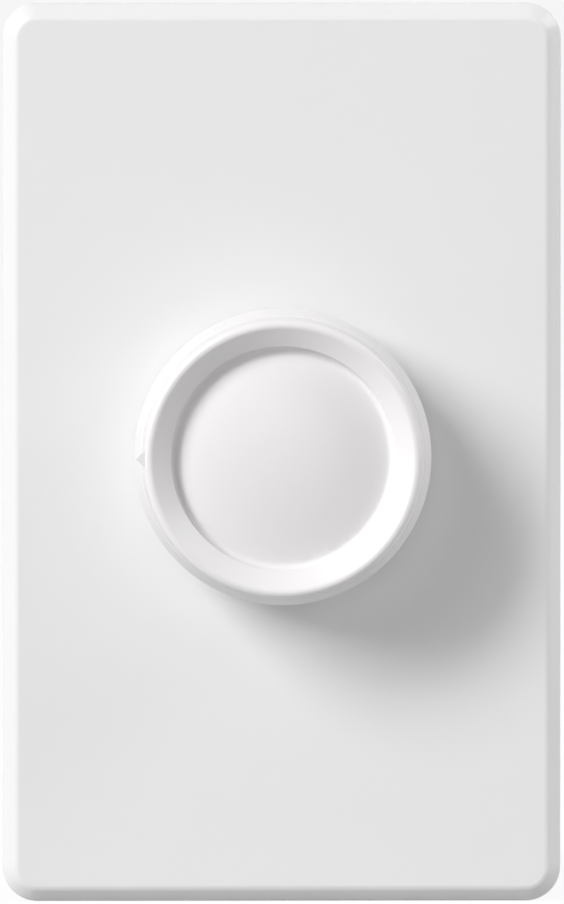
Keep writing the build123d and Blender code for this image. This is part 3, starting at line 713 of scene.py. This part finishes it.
@dataclass
class WallPlate:
    """Snap-on cover plate: a bevelled tray with an opening, catches and seat ribs.

    Sizes are in millimetres.
    """

    # Tray
    wall: float = 2.0
    corner_radius: float = 4.4
    bevel_width: float = 1.65
    bevel_depth: float = 1.5
    front_setback: float = 0.45
    front_segments: int = 6
    side_setback: float = 0.2
    opening_radius: float = 9.0
    corner_segments: int = 14
    opening_segments: int = 128
    # Catches on the long walls
    catch_rows: tuple[float, ...] = (-34.0, 0.0, 34.0)
    catch_length: float = 12.0
    catch_reach: float = 0.8
    catch_back: float = 0.6
    catch_front: float = 1.6
    catch_slope: float = 0.5
    # Seat ribs, and how deep ribs and catches are rooted in the tray
    rib_column: float = 27.0
    rib_width: float = 1.2
    rib_length: float = 84.0
    rib_back: float = 3.2
    root: float = 0.2

    def shell(self) -> BMesh:
        """Build the tray with its bevel, opening and wall.

        Returns:
            The tray's mesh.
        """
        low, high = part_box("wall_plate")
        depth = high.y - low.y
        shoulder = depth - self.bevel_depth * MM
        bm = bmesh.new()
        face = rounded_sheet(bm, high.x - low.x, high.z - low.z, self.corner_radius, self.corner_segments)
        face = pushed(bm, face, FRONT * shoulder)
        rear = [f for f in bm.faces if all(abs(v.co.y) < NEAR for v in f.verts)]
        bmesh.ops.delete(bm, geom=rear, context="FACES_ONLY")
        width = self.bevel_width * MM
        bmesh.ops.inset_region(bm, faces=[face], thickness=width, use_even_offset=True, use_boundary=True)
        bmesh.ops.translate(bm, verts=face.verts, vec=FRONT * self.bevel_depth * MM)
        round_off(bm, level_edges(bm, shoulder), self.side_setback, FINE_SEGMENTS)
        round_off(bm, level_edges(bm, depth), self.front_setback, self.front_segments)
        face = max(bm.faces, key=lambda f: f.calc_area())
        outline = list(face.edges)
        bmesh.ops.delete(bm, geom=[face], context="FACES_ONLY")
        circle = bmesh.ops.create_circle(
            bm,
            cap_ends=False,
            radius=self.opening_radius * MM,
            segments=self.opening_segments,
            matrix=Matrix.Translation(FRONT * depth) @ UPRIGHT.to_4x4(),
        )["verts"]
        hole = list({e for v in circle for e in v.link_edges})
        bmesh.ops.bridge_loops(bm, edges=outline + hole)
        bmesh.ops.recalc_face_normals(bm, faces=bm.faces)
        bmesh.ops.solidify(bm, geom=bm.faces, thickness=self.wall * MM)
        return bm

    def catches(self, bm: BMesh) -> None:
        """Add the wedges on the long walls that the adapter's tabs lock behind.

        Args:
            bm: The plate's mesh.
        """
        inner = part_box("wall_plate")[1].x - self.wall * MM
        front, back = -self.catch_front * MM, -self.catch_back * MM
        half = self.catch_length / 2
        for side in (-1, 1):
            ends = sorted((side * (inner + self.root * MM), side * (inner - self.catch_reach * MM)))
            for row in self.catch_rows:
                verts = box(
                    bm,
                    Vector((ends[0], front, (row - half) * MM)),
                    Vector((ends[1], back, (row + half) * MM)),
                )
                lead = [v for v in verts if v.co.y > front + NEAR and abs(v.co.x) < inner - NEAR]
                bmesh.ops.translate(bm, verts=lead, vec=FRONT * self.catch_slope * MM)

    def seat_ribs(self, bm: BMesh) -> None:
        """Add the two upright ribs that seat on the adapter frame.

        Args:
            bm: The plate's mesh.
        """
        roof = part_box("wall_plate")[0].y + self.wall * MM
        half = self.rib_width / 2
        for column in (-self.rib_column, self.rib_column):
            box(
                bm,
                Vector(((column - half) * MM, roof - self.root * MM, -self.rib_length / 2 * MM)),
                Vector(((column + half) * MM, -self.rib_back * MM, self.rib_length / 2 * MM)),
            )

    def build(self) -> None:
        """Build and dress the plate."""
        bm = self.shell()
        self.catches(bm)
        self.seat_ribs(bm)
        Piece("cover_plate", PLATE_WHITE, "plate_white", Body.FIXED, "wall_plate").add(bm)


@dataclass
class ControlKnob:
    """Moulded knob: two-step side, crest, dished cone, domed centre, hub, ribs and pointer.

    Sizes are in millimetres; heights are counted from the wall.
    """

    # Side, from its foot to the crest
    base: float = 7.3
    base_radius: float = 18.0
    base_setback: float = 0.25
    widest: float = 14.5
    widest_radius: float = 18.88
    edge_setback: float = 0.09
    edge_segments: int = 4
    seam: float = 16.9
    seam_radius: float = 18.0
    seam_ledge: float = 0.06
    seam_outer_setback: float = 0.025
    seam_inner_setback: float = 0.02
    crest: float = 21.15
    crest_radius: float = 17.57
    crest_rounding: float = 0.77
    crest_steps: int = 14
    # Dish with its domed floor
    dish_edge: float = 18.65
    dish_edge_radius: float = 14.2
    floor: float = 17.15
    floor_radius: float = 14.15
    floor_setback: float = 1.0
    floor_segments: int = 8
    dome: float = 19.15
    dome_steps: int = 16
    # Hollow with its hub and ribs
    wall: float = 1.6
    steps: int = 256
    hub_base: float = 8.3
    hub_radius: float = 5.6
    hub_steps: int = 64
    bore_radius: float = 3.2
    rib_base: float = 14.1
    rib_width: float = 1.2
    rib_count: int = 6
    # Pointer
    pointer_tip: float = 18.68
    pointer_base: float = 16.9
    pointer_half_width: float = 1.7
    pointer_top: float = 20.22
    pointer_setback: float = 0.06
    crease: float = 25.0

    def outside(self) -> list[Corner]:
        """Give the section's corners from the dish's edge round to the hollow's roof.

        Returns:
            Radius and height of each corner.
        """
        half = self.seam_ledge / 2
        inner = self.base_radius - self.wall
        return [
            (self.dish_edge_radius, self.dish_edge),
            (self.crest_radius, self.crest),
            (self.seam_radius - half, self.seam),
            (self.seam_radius + half, self.seam),
            (self.widest_radius, self.widest),
            (self.base_radius, self.base),
            (inner, self.base),
            (inner, self.floor - self.wall),
            (0.0, self.dome - self.wall),
        ]

    def roundings(self) -> list[tuple[float, float, float, int]]:
        """Give the rings that are rounded.

        Returns:
            Radius, height, setback and segments of each ring.
        """
        half = self.seam_ledge / 2
        return [
            (self.floor_radius, self.floor, self.floor_setback, self.floor_segments),
            (self.widest_radius, self.widest, self.edge_setback, self.edge_segments),
            (self.dish_edge_radius, self.dish_edge, self.edge_setback, self.edge_segments),
            (self.seam_radius + half, self.seam, self.seam_outer_setback, FINE_SEGMENTS),
            (self.seam_radius - half, self.seam, self.seam_inner_setback, FINE_SEGMENTS),
            (self.base_radius, self.base, self.base_setback, FINE_SEGMENTS),
        ]

    def shell(self) -> BMesh:
        """Turn the knob's section and round its corners.

        Returns:
            The shell's mesh.
        """
        bm = bmesh.new()
        rise = self.dome - self.floor
        sphere = (self.floor_radius ** 2 + rise ** 2) / (2 * rise)
        top = bm.verts.new((0, -self.dome * MM, 0))
        spread = math.asin(self.floor_radius / sphere)
        last = arc_from(bm, top, (0.0, self.dome - sphere), spread, self.dome_steps)
        inner, crest, *rest = self.outside()
        last = chain(bm, [inner], last)[0]
        last = corner_arc(bm, inner, crest, rest[0], self.crest_rounding, self.crest_steps, last)
        chain(bm, rest, last)
        turn_about_axis(bm, self.steps)
        for radius, height, setback, segments in self.roundings():
            round_off(bm, ring_edges(bm, radius, height), setback, segments)
        return bm

    def inner_forms(self, bm: BMesh) -> None:
        """Add the hub with its bore and the ribs under the roof.

        Args:
            bm: The knob's mesh.
        """
        roof = self.floor - self.wall / 2
        hub = bmesh.new()
        chain(
            hub,
            [
                (self.bore_radius, self.hub_base),
                (self.hub_radius, self.hub_base),
                (self.hub_radius, roof),
                (self.bore_radius, roof),
                (self.bore_radius, self.hub_base),
            ],
        )
        turn_about_axis(hub, self.hub_steps)
        joined(bm, hub)
        reach = self.base_radius - self.wall / 2
        half = self.rib_width / 2 * MM
        for index in range(self.rib_count):
            verts = box(
                bm,
                Vector((self.hub_radius * MM, -roof * MM, -half)),
                Vector((reach * MM, -self.rib_base * MM, half)),
            )
            turn = Matrix.Rotation(math.tau * index / self.rib_count, 3, "Y")
            bmesh.ops.rotate(bm, verts=verts, cent=(0, 0, 0), matrix=turn)

    def pointer(self, bm: BMesh) -> None:
        """Add the triangular pointer at the left of the side.

        Args:
            bm: The knob's mesh.
        """
        circle = (self.pointer_tip - self.pointer_base) / TRIANGLE_HEIGHT
        depth = self.pointer_top - self.widest
        mark = bmesh.new()
        verts = bmesh.ops.create_cone(
            mark, cap_ends=True, segments=3, radius1=circle * MM, radius2=circle * MM, depth=depth * MM
        )["verts"]
        tip = max(verts, key=lambda v: v.co.length)
        turn = math.pi - math.atan2(tip.co.y, tip.co.x)
        bmesh.ops.rotate(mark, verts=verts, cent=(0, 0, 0), matrix=Matrix.Rotation(turn, 3, "Z"))
        across = self.pointer_half_width / (circle * math.sin(math.tau / 3))
        bmesh.ops.scale(mark, verts=verts, vec=(1, across, 1))
        bmesh.ops.rotate(mark, verts=verts, cent=(0, 0, 0), matrix=UPRIGHT)
        middle = Vector((circle - self.pointer_tip, -self.widest - depth / 2, 0)) * MM
        bmesh.ops.translate(mark, verts=verts, vec=middle)
        round_off(mark, list(mark.edges), self.pointer_setback, FINE_SEGMENTS)
        joined(bm, mark)

    def build(self) -> None:
        """Build and dress the knob."""
        bm = self.shell()
        self.inner_forms(bm)
        self.pointer(bm)
        piece = Piece("turn_knob", KNOB_WHITE, "knob_white", Body.KNOB, "knob", crease=self.crease)
        piece.add(bm)


@dataclass
class MachineScrews:
    """Pair of machine screws above and below the axis, with rolled threads and slotted heads.

    Sizes are in millimetres; heights are counted from the wall.

    Attributes:
        node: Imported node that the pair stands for.
        head: The head's corners, from the front's middle to the neck.
        rounded: Radius, height, setback and segments of the head's rounded corner.
        neck_radius: Radius between the head and the thread.
        thread_front: Height where the thread starts.
        tip: Height of the screw's end.
        spacing: Distance between the two screws.
        root_radius: Radius of the thread's core.
        crest_radius: Radius of the thread's crest.
        pitch: Distance between neighbouring ridges.
        flank: Half the ridge's width at the core.
        land: Half the ridge's width at the crest.
        sink: Depth that the ridge is rooted in the core.
        point: Length of the bevel at the screw's end.
        turn_steps: Divisions of one turn of the thread.
        round_steps: Divisions round the head and the core.
        slot_width: Width of the driver slot.
        slot_depth: Depth of the driver slot.
    """

    node: str
    head: tuple[Corner, ...]
    rounded: tuple[float, float, float, int]
    neck_radius: float
    thread_front: float
    tip: float
    spacing: float
    root_radius: float = 1.38
    crest_radius: float = 1.74
    pitch: float = 0.794
    flank: float = 0.36
    land: float = 0.05
    sink: float = 0.05
    point: float = 0.5
    turn_steps: int = 24
    round_steps: int = 48
    slot_width: float = 0.9
    slot_depth: float = 0.8

    def blank(self) -> BMesh:
        """Turn the head, the neck and the core of the thread.

        Returns:
            The blank's mesh.
        """
        bm = bmesh.new()
        corners = [
            *self.head,
            (self.neck_radius, self.thread_front),
            (self.root_radius, self.thread_front),
            (self.root_radius, self.tip + self.point),
            (self.root_radius - self.point, self.tip),
            (0.0, self.tip),
        ]
        chain(bm, corners)
        turn_about_axis(bm, self.round_steps)
        radius, height, setback, segments = self.rounded
        round_off(bm, ring_edges(bm, radius, height), setback, segments)
        return bm

    def slot(self, bm: BMesh) -> None:
        """Sink the driver slot into the head.

        Args:
            bm: The screw's mesh.
        """
        half = self.slot_width / 2 * MM
        for side in (-half, half):
            geometry = [*bm.verts, *bm.edges, *bm.faces]
            bmesh.ops.bisect_plane(bm, geom=geometry, plane_co=(0, 0, side), plane_no=(0, 0, 1), dist=NEAR)
        bottom = (self.head[0][1] - self.slot_depth) * MM
        strip = []
        for face in bm.faces:
            middle = face.calc_center_median()
            if abs(middle.z) < half and -middle.y > bottom and face.normal.y < 0:
                strip.append(face)
        made = bmesh.ops.extrude_face_region(bm, geom=strip)["geom"]
        bmesh.ops.delete(bm, geom=[f for f in strip if f.is_valid], context="FACES_ONLY")
        for vert in verts_of(made):
            vert.co.y = max(vert.co.y, -bottom)

    def thread(self, bm: BMesh) -> None:
        """Wind the thread's ridge round the core.

        Args:
            bm: The screw's mesh.
        """
        ridge = bmesh.new()
        start = self.tip + self.point + self.flank
        turns = (self.thread_front - self.flank - start) / self.pitch
        steps = round(turns * self.turn_steps)
        inner = self.root_radius - self.sink
        section = chain(
            ridge,
            [
                (inner, start - self.flank),
                (self.crest_radius, start - self.land),
                (self.crest_radius, start + self.land),
                (inner, start + self.flank),
            ],
        )
        face = bmesh.ops.contextual_create(ridge, geom=verts_of(section))
        bmesh.ops.spin(
            ridge,
            geom=face["faces"],
            cent=(0, 0, 0),
            axis=AXIS,
            dvec=FRONT * self.pitch * turns / steps * MM,
            angle=math.tau * turns,
            steps=steps,
        )
        bmesh.ops.recalc_face_normals(ridge, faces=ridge.faces)
        joined(bm, ridge)

    def build(self) -> None:
        """Build one screw, copy it and dress the pair."""
        bm = self.blank()
        self.slot(bm)
        self.thread(bm)
        bmesh.ops.translate(bm, verts=bm.verts, vec=(0, 0, self.spacing / 2 * MM))
        twin = bmesh.ops.duplicate(bm, geom=[*bm.verts, *bm.edges, *bm.faces])["geom"]
        bmesh.ops.translate(bm, verts=verts_of(twin), vec=(0, 0, -self.spacing * MM))
        name = f"{self.node}_threaded"
        Piece(name, ZINC_STEEL, "zinc_steel", Body.FIXED, self.node).add(bm)


BOX_SCREWS = MachineScrews(
    node="box_screws",
    head=((0.0, 3.6), (3.4, 3.6), (3.4, 1.6), (1.5, 1.6)),
    rounded=(3.4, 3.6, 0.9, 6),
    neck_radius=1.5,
    thread_front=-0.45,
    tip=-23.8,
    spacing=83.34,
)
ADAPTER_SCREWS = MachineScrews(
    node="adapter_screws",
    head=((0.0, 3.2), (3.1, 3.2), (1.75, 1.7)),
    rounded=(3.1, 3.2, 0.08, 2),
    neck_radius=1.75,
    thread_front=0.0,
    tip=-6.3,
    spacing=98.8,
)


@dataclass
class BrokenEdges:
    """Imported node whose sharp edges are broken, as a die or a mould leaves them.

    Attributes:
        node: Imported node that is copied.
        finish: Surface of the copy.
        slot: The record's material slot.
        setback: Width of the broken edge in millimetres.
        segments: Faces across the broken edge.
        sharp: Angle, in degrees, above which an edge is broken.
        crease: Angle, in degrees, above which an edge of the copy stays sharp.
        plane: Angle, in degrees, under which neighbouring faces are one plane.
    """

    node: str
    finish: Finish
    slot: str
    setback: float
    segments: int = 2
    sharp: float = 35.0
    crease: float = 50.0
    plane: float = 0.5

    def build(self) -> None:
        """Merge a copy of the node's mesh, break its edges and dress it."""
        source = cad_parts[self.node]
        bm = bmesh.new()
        bm.from_mesh(source.data)
        bm.transform(source.matrix_world)
        bmesh.ops.remove_doubles(bm, verts=bm.verts, dist=NEAR)
        bmesh.ops.dissolve_degenerate(bm, edges=bm.edges, dist=NEAR)
        plane, limit = math.radians(self.plane), math.radians(self.sharp)
        bmesh.ops.dissolve_limit(bm, angle_limit=plane, verts=bm.verts, edges=bm.edges)
        edges = [e for e in bm.edges if e.is_manifold and e.calc_face_angle() > limit]
        round_off(bm, edges, self.setback, self.segments)
        name = f"{self.node}_finished"
        Piece(name, self.finish, self.slot, Body.FIXED, self.node, crease=self.crease).add(bm)


BROKEN_EDGES = (
    BrokenEdges("adapter_frame", ADAPTER_WHITE, "adapter_white", setback=0.1),
    BrokenEdges("mounting_yoke", YOKE_ALUMINIUM, "yoke_metal", setback=0.12),
    BrokenEdges("back_housing", HOUSING_BLACK, "housing_plastic", setback=0.2),
    BrokenEdges("screw_retainers", FIBRE, "fibre", setback=0.06),
    BrokenEdges("housing_rivets", RIVET_ALUMINIUM, "rivet_metal", setback=0.1),
)


@dataclass(frozen=True)
class Carried:
    """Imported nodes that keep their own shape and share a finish.

    Attributes:
        finish: Surface of the nodes.
        nodes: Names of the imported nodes.
    """

    finish: Finish
    nodes: tuple[str, ...]

    def dress(self) -> None:
        """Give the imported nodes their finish."""
        for name in self.nodes:
            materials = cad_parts[name].data.materials
            materials.clear()
            materials.append(self.finish.material())
            log.info("%s: dressed in %s", name, self.finish.name)


CARRIED = (
    Carried(SPRING_STEEL, ("knob_spring", "shaft_clip")),
    Carried(ACETAL, ("control_shaft",)),
    Carried(NICKEL_BRASS, ("shaft_bush", "bush_nut")),
    Carried(ZINC_STEEL, ("lock_washer", "element_can")),
    Carried(PHENOLIC, ("resistance_wafer", "switch_base")),
    Carried(TINNED_COPPER, ("element_lugs", "triac_tab", "triac_leads")),
    Carried(NYLON, ("element_rotor", "switch_cam")),
    Carried(SPRING_BRONZE, ("element_wiper", "switch_blade", "switch_contact")),
    Carried(BOARD, ("circuit_board",)),
    Carried(SILICONE, ("triac_pad",)),
    Carried(EPOXY, ("triac_body",)),
    Carried(RIVET_ALUMINIUM, ("triac_rivet",)),
    Carried(IRON_POWDER, ("choke_core",)),
    Carried(ENAMELLED_COPPER, ("choke_winding",)),
    Carried(FILM_BOX, ("filter_capacitor",)),
    Carried(DIPPED_COAT, ("timing_capacitor",)),
    Carried(LACQUER, ("timing_resistor",)),
    Carried(DIODE_GLASS, ("trigger_diac",)),
)


@dataclass(frozen=True)
class Lamp:
    """One soft studio lamp that looks at the part.

    Attributes:
        name: Name of the lamp.
        toward: Direction from the part to the lamp.
        distance: Distance in metres.
        size: Width of the lamp's round face in metres.
        power: Power in watts.
    """

    name: str
    toward: tuple[float, float, float]
    distance: float
    size: float
    power: float

    def add(self) -> None:
        """Put the lamp into the scene."""
        data = bpy.data.lights.new(self.name, "AREA")
        data.shape = "DISK"
        data.size = self.size
        data.energy = self.power
        lamp = bpy.data.objects.new(self.name, data)
        way = Vector(self.toward).normalized()
        lamp.location = way * self.distance
        lamp.rotation_mode = "QUATERNION"
        lamp.rotation_quaternion = way.to_track_quat("Z", "Y")
        lamp.visible_camera = False
        bpy.context.scene.collection.objects.link(lamp)
        log.info("lamp %s: %.1f W", self.name, self.power)


# Three keys at the upper left, fills at the front and the right, and two lamps for the back
LAMPS = (
    Lamp("key_upper", toward=(-0.6, -0.53, 0.6), distance=3.0, size=0.9, power=41.0),
    Lamp("key_left", toward=(-0.741, -0.545, 0.394), distance=3.0, size=0.9, power=37.0),
    Lamp("key_high", toward=(-0.547, -0.719, 0.428), distance=3.0, size=1.25, power=13.2),
    Lamp("front_fill", toward=(0.0, -0.966, 0.259), distance=2.0, size=0.8, power=2.7),
    Lamp("right_fill", toward=(1.0, 0.0, 0.0), distance=1.4, size=0.6, power=5.4),
    Lamp("upper_right_fill", toward=(0.815, -0.105, 0.57), distance=1.4, size=0.6, power=6.6),
    Lamp("back_left", toward=(-0.439, 0.643, 0.628), distance=1.4, size=0.9, power=3.6),
    Lamp("back_right", toward=(0.587, 0.643, 0.492), distance=1.4, size=0.9, power=3.6),
)


@dataclass
class Studio:
    """Pale floor, soft light, white background and the camera.

    Attributes:
        floor_size: Width of the floor in metres.
        floor_divisions: Faces along each side of the floor.
        floor_gap: Room between the part and the floor in millimetres.
        floor_roughness: Roughness of the floor's paint.
        speckles: Speckles of the paint in a metre.
        speckle_relief: Height of the speckles in millimetres.
        floor_tone: Colour of the floor as it lights the part.
        floor_seen: Colour of the floor as the camera sees it.
        floor_white: Share of plain white that the camera sees in the floor.
        ambient: Strength of the light from all round.
        azimuth: The camera's angle to the right of the front, in degrees.
        elevation: The camera's angle above the front, in degrees.
        distance: The camera's distance in metres.
        clip_start: Distance in metres where the camera's view starts.
        clip_end: Distance in metres where the camera's view ends.
        frame_height: Height that the image takes in at the part, in metres.
        target: Point that the camera looks at.
        lamps: The studio's lamps.
    """

    floor_size: float = 9.0
    floor_divisions: int = 4
    floor_gap: float = 0.02
    floor_roughness: float = 0.8
    speckles: float = 300.0
    speckle_relief: float = 0.02
    floor_tone: str = "#B0B0B0"
    floor_seen: str = WHITE
    floor_white: float = 0.9
    ambient: float = 0.01
    azimuth: float = -0.8
    elevation: float = 3.1
    distance: float = 3.0
    clip_start: float = 0.03
    clip_end: float = 30.0
    frame_height: float = 0.11523
    target: tuple[float, float, float] = (0.000113, 0.0, -0.00018)
    lamps: tuple[Lamp, ...] = LAMPS

    def seen_directly(self, tree: NodeTree) -> NodeSocket:
        """Tell camera, mirror and glass rays from those that light the part.

        Args:
            tree: Node tree of the world or the floor.

        Returns:
            Socket that is one for rays that end in the image.
        """
        path = add_node(tree, "ShaderNodeLightPath")
        direct = path.outputs["Is Camera Ray"]
        for ray in ("Is Glossy Ray", "Is Transmission Ray"):
            both = {0: direct, 1: path.outputs[ray]}
            direct = add_node(tree, "ShaderNodeMath", both, operation="MAXIMUM").outputs["Value"]
        return direct

    def world(self) -> None:
        """Make the white background and the light from all round."""
        world = bpy.data.worlds.new("studio")
        bpy.context.scene.world = world
        world.use_nodes = True
        tree = world.node_tree
        tree.nodes.clear()
        room = add_node(tree, "ShaderNodeBackground", {"Color": linear(WHITE), "Strength": self.ambient})
        white = add_node(tree, "ShaderNodeBackground", {"Color": linear(WHITE), "Strength": 1.0})
        mixed = add_node(
            tree,
            "ShaderNodeMixShader",
            {0: self.seen_directly(tree), 1: room.outputs["Background"], 2: white.outputs["Background"]},
        )
        add_node(tree, "ShaderNodeOutputWorld", {"Surface": mixed.outputs["Shader"]})

    def paint(self) -> Material:
        """Make the floor's matt paint, which the camera sees as nearly plain white.

        Returns:
            The paint as a material.
        """
        made = bpy.data.materials.new("painted studio floor")
        made.use_nodes = True
        tree = made.node_tree
        tree.nodes.clear()
        place = add_node(tree, "ShaderNodeTexCoord").outputs["Object"]
        noise = {"Vector": place, "Scale": self.speckles, "Detail": GRAIN_DETAIL}
        speckle = add_node(tree, "ShaderNodeTexNoise", noise)
        relief = {"Height": speckle.outputs["Fac"], "Distance": self.speckle_relief * MM}
        bump = add_node(tree, "ShaderNodeBump", relief)
        direct = self.seen_directly(tree)
        colour = add_node(
            tree,
            "ShaderNodeMix",
            {MIX_SHARE: direct, MIX_FROM: linear(self.floor_tone), MIX_TO: linear(self.floor_seen)},
            data_type="RGBA",
        )
        paint = add_node(
            tree,
            "ShaderNodeBsdfPrincipled",
            {
                "Base Color": colour.outputs[MIX_RESULT],
                "Roughness": self.floor_roughness,
                "Normal": bump.outputs["Normal"],
            },
        )
        white = add_node(tree, "ShaderNodeEmission", {"Color": linear(WHITE), "Strength": 1.0})
        share = add_node(tree, "ShaderNodeMath", {0: direct, 1: self.floor_white}, operation="MULTIPLY")
        mixed = add_node(
            tree,
            "ShaderNodeMixShader",
            {0: share.outputs["Value"], 1: paint.outputs["BSDF"], 2: white.outputs["Emission"]},
        )
        add_node(tree, "ShaderNodeOutputMaterial", {"Surface": mixed.outputs["Shader"]})
        return made

    def floor(self) -> None:
        """Lay the pale floor under the part, which keeps the part's shadow."""
        bm = bmesh.new()
        bmesh.ops.create_grid(
            bm,
            x_segments=self.floor_divisions,
            y_segments=self.floor_divisions,
            size=self.floor_size / 2,
        )
        bmesh.ops.translate(bm, verts=bm.verts, vec=(0, 0, CAD_BOX[0][2] - self.floor_gap * MM))
        mesh = bpy.data.meshes.new("studio_floor")
        bm.to_mesh(mesh)
        bm.free()
        mesh.materials.append(self.paint())
        floor = bpy.data.objects.new("studio_floor", mesh)
        bpy.context.scene.collection.objects.link(floor)

    def camera(self) -> None:
        """Set the camera at the photograph's angle."""
        data = bpy.data.cameras.new("camera")
        camera = bpy.data.objects.new("camera", data)
        bpy.context.scene.collection.objects.link(camera)
        data.lens = data.sensor_width * self.distance / self.frame_height
        side, up = math.radians(self.azimuth), math.radians(self.elevation)
        back = Vector((math.sin(side) * math.cos(up), -math.cos(side) * math.cos(up), math.sin(up)))
        camera.location = Vector(self.target) + back * self.distance
        camera.rotation_mode = "QUATERNION"
        camera.rotation_quaternion = back.to_track_quat("Z", "Y")
        data.clip_start = self.clip_start
        data.clip_end = self.clip_end
        bpy.context.scene.camera = camera

    def build(self) -> None:
        """Build the whole studio."""
        bpy.context.scene.view_settings.view_transform = "Standard"
        self.world()
        self.floor()
        for lamp in self.lamps:
            lamp.add()
        self.camera()


def main() -> None:
    """Build the pieces in order."""
    logging.basicConfig(level=logging.INFO, format="%(name)s: %(message)s")
    WallPlate().build()
    ControlKnob().build()
    for screws in (BOX_SCREWS, ADAPTER_SCREWS):
        screws.build()
    for copy in BROKEN_EDGES:
        copy.build()
    for group in CARRIED:
        group.dress()
    Studio().build()


if __name__ == "__main__":
    main()
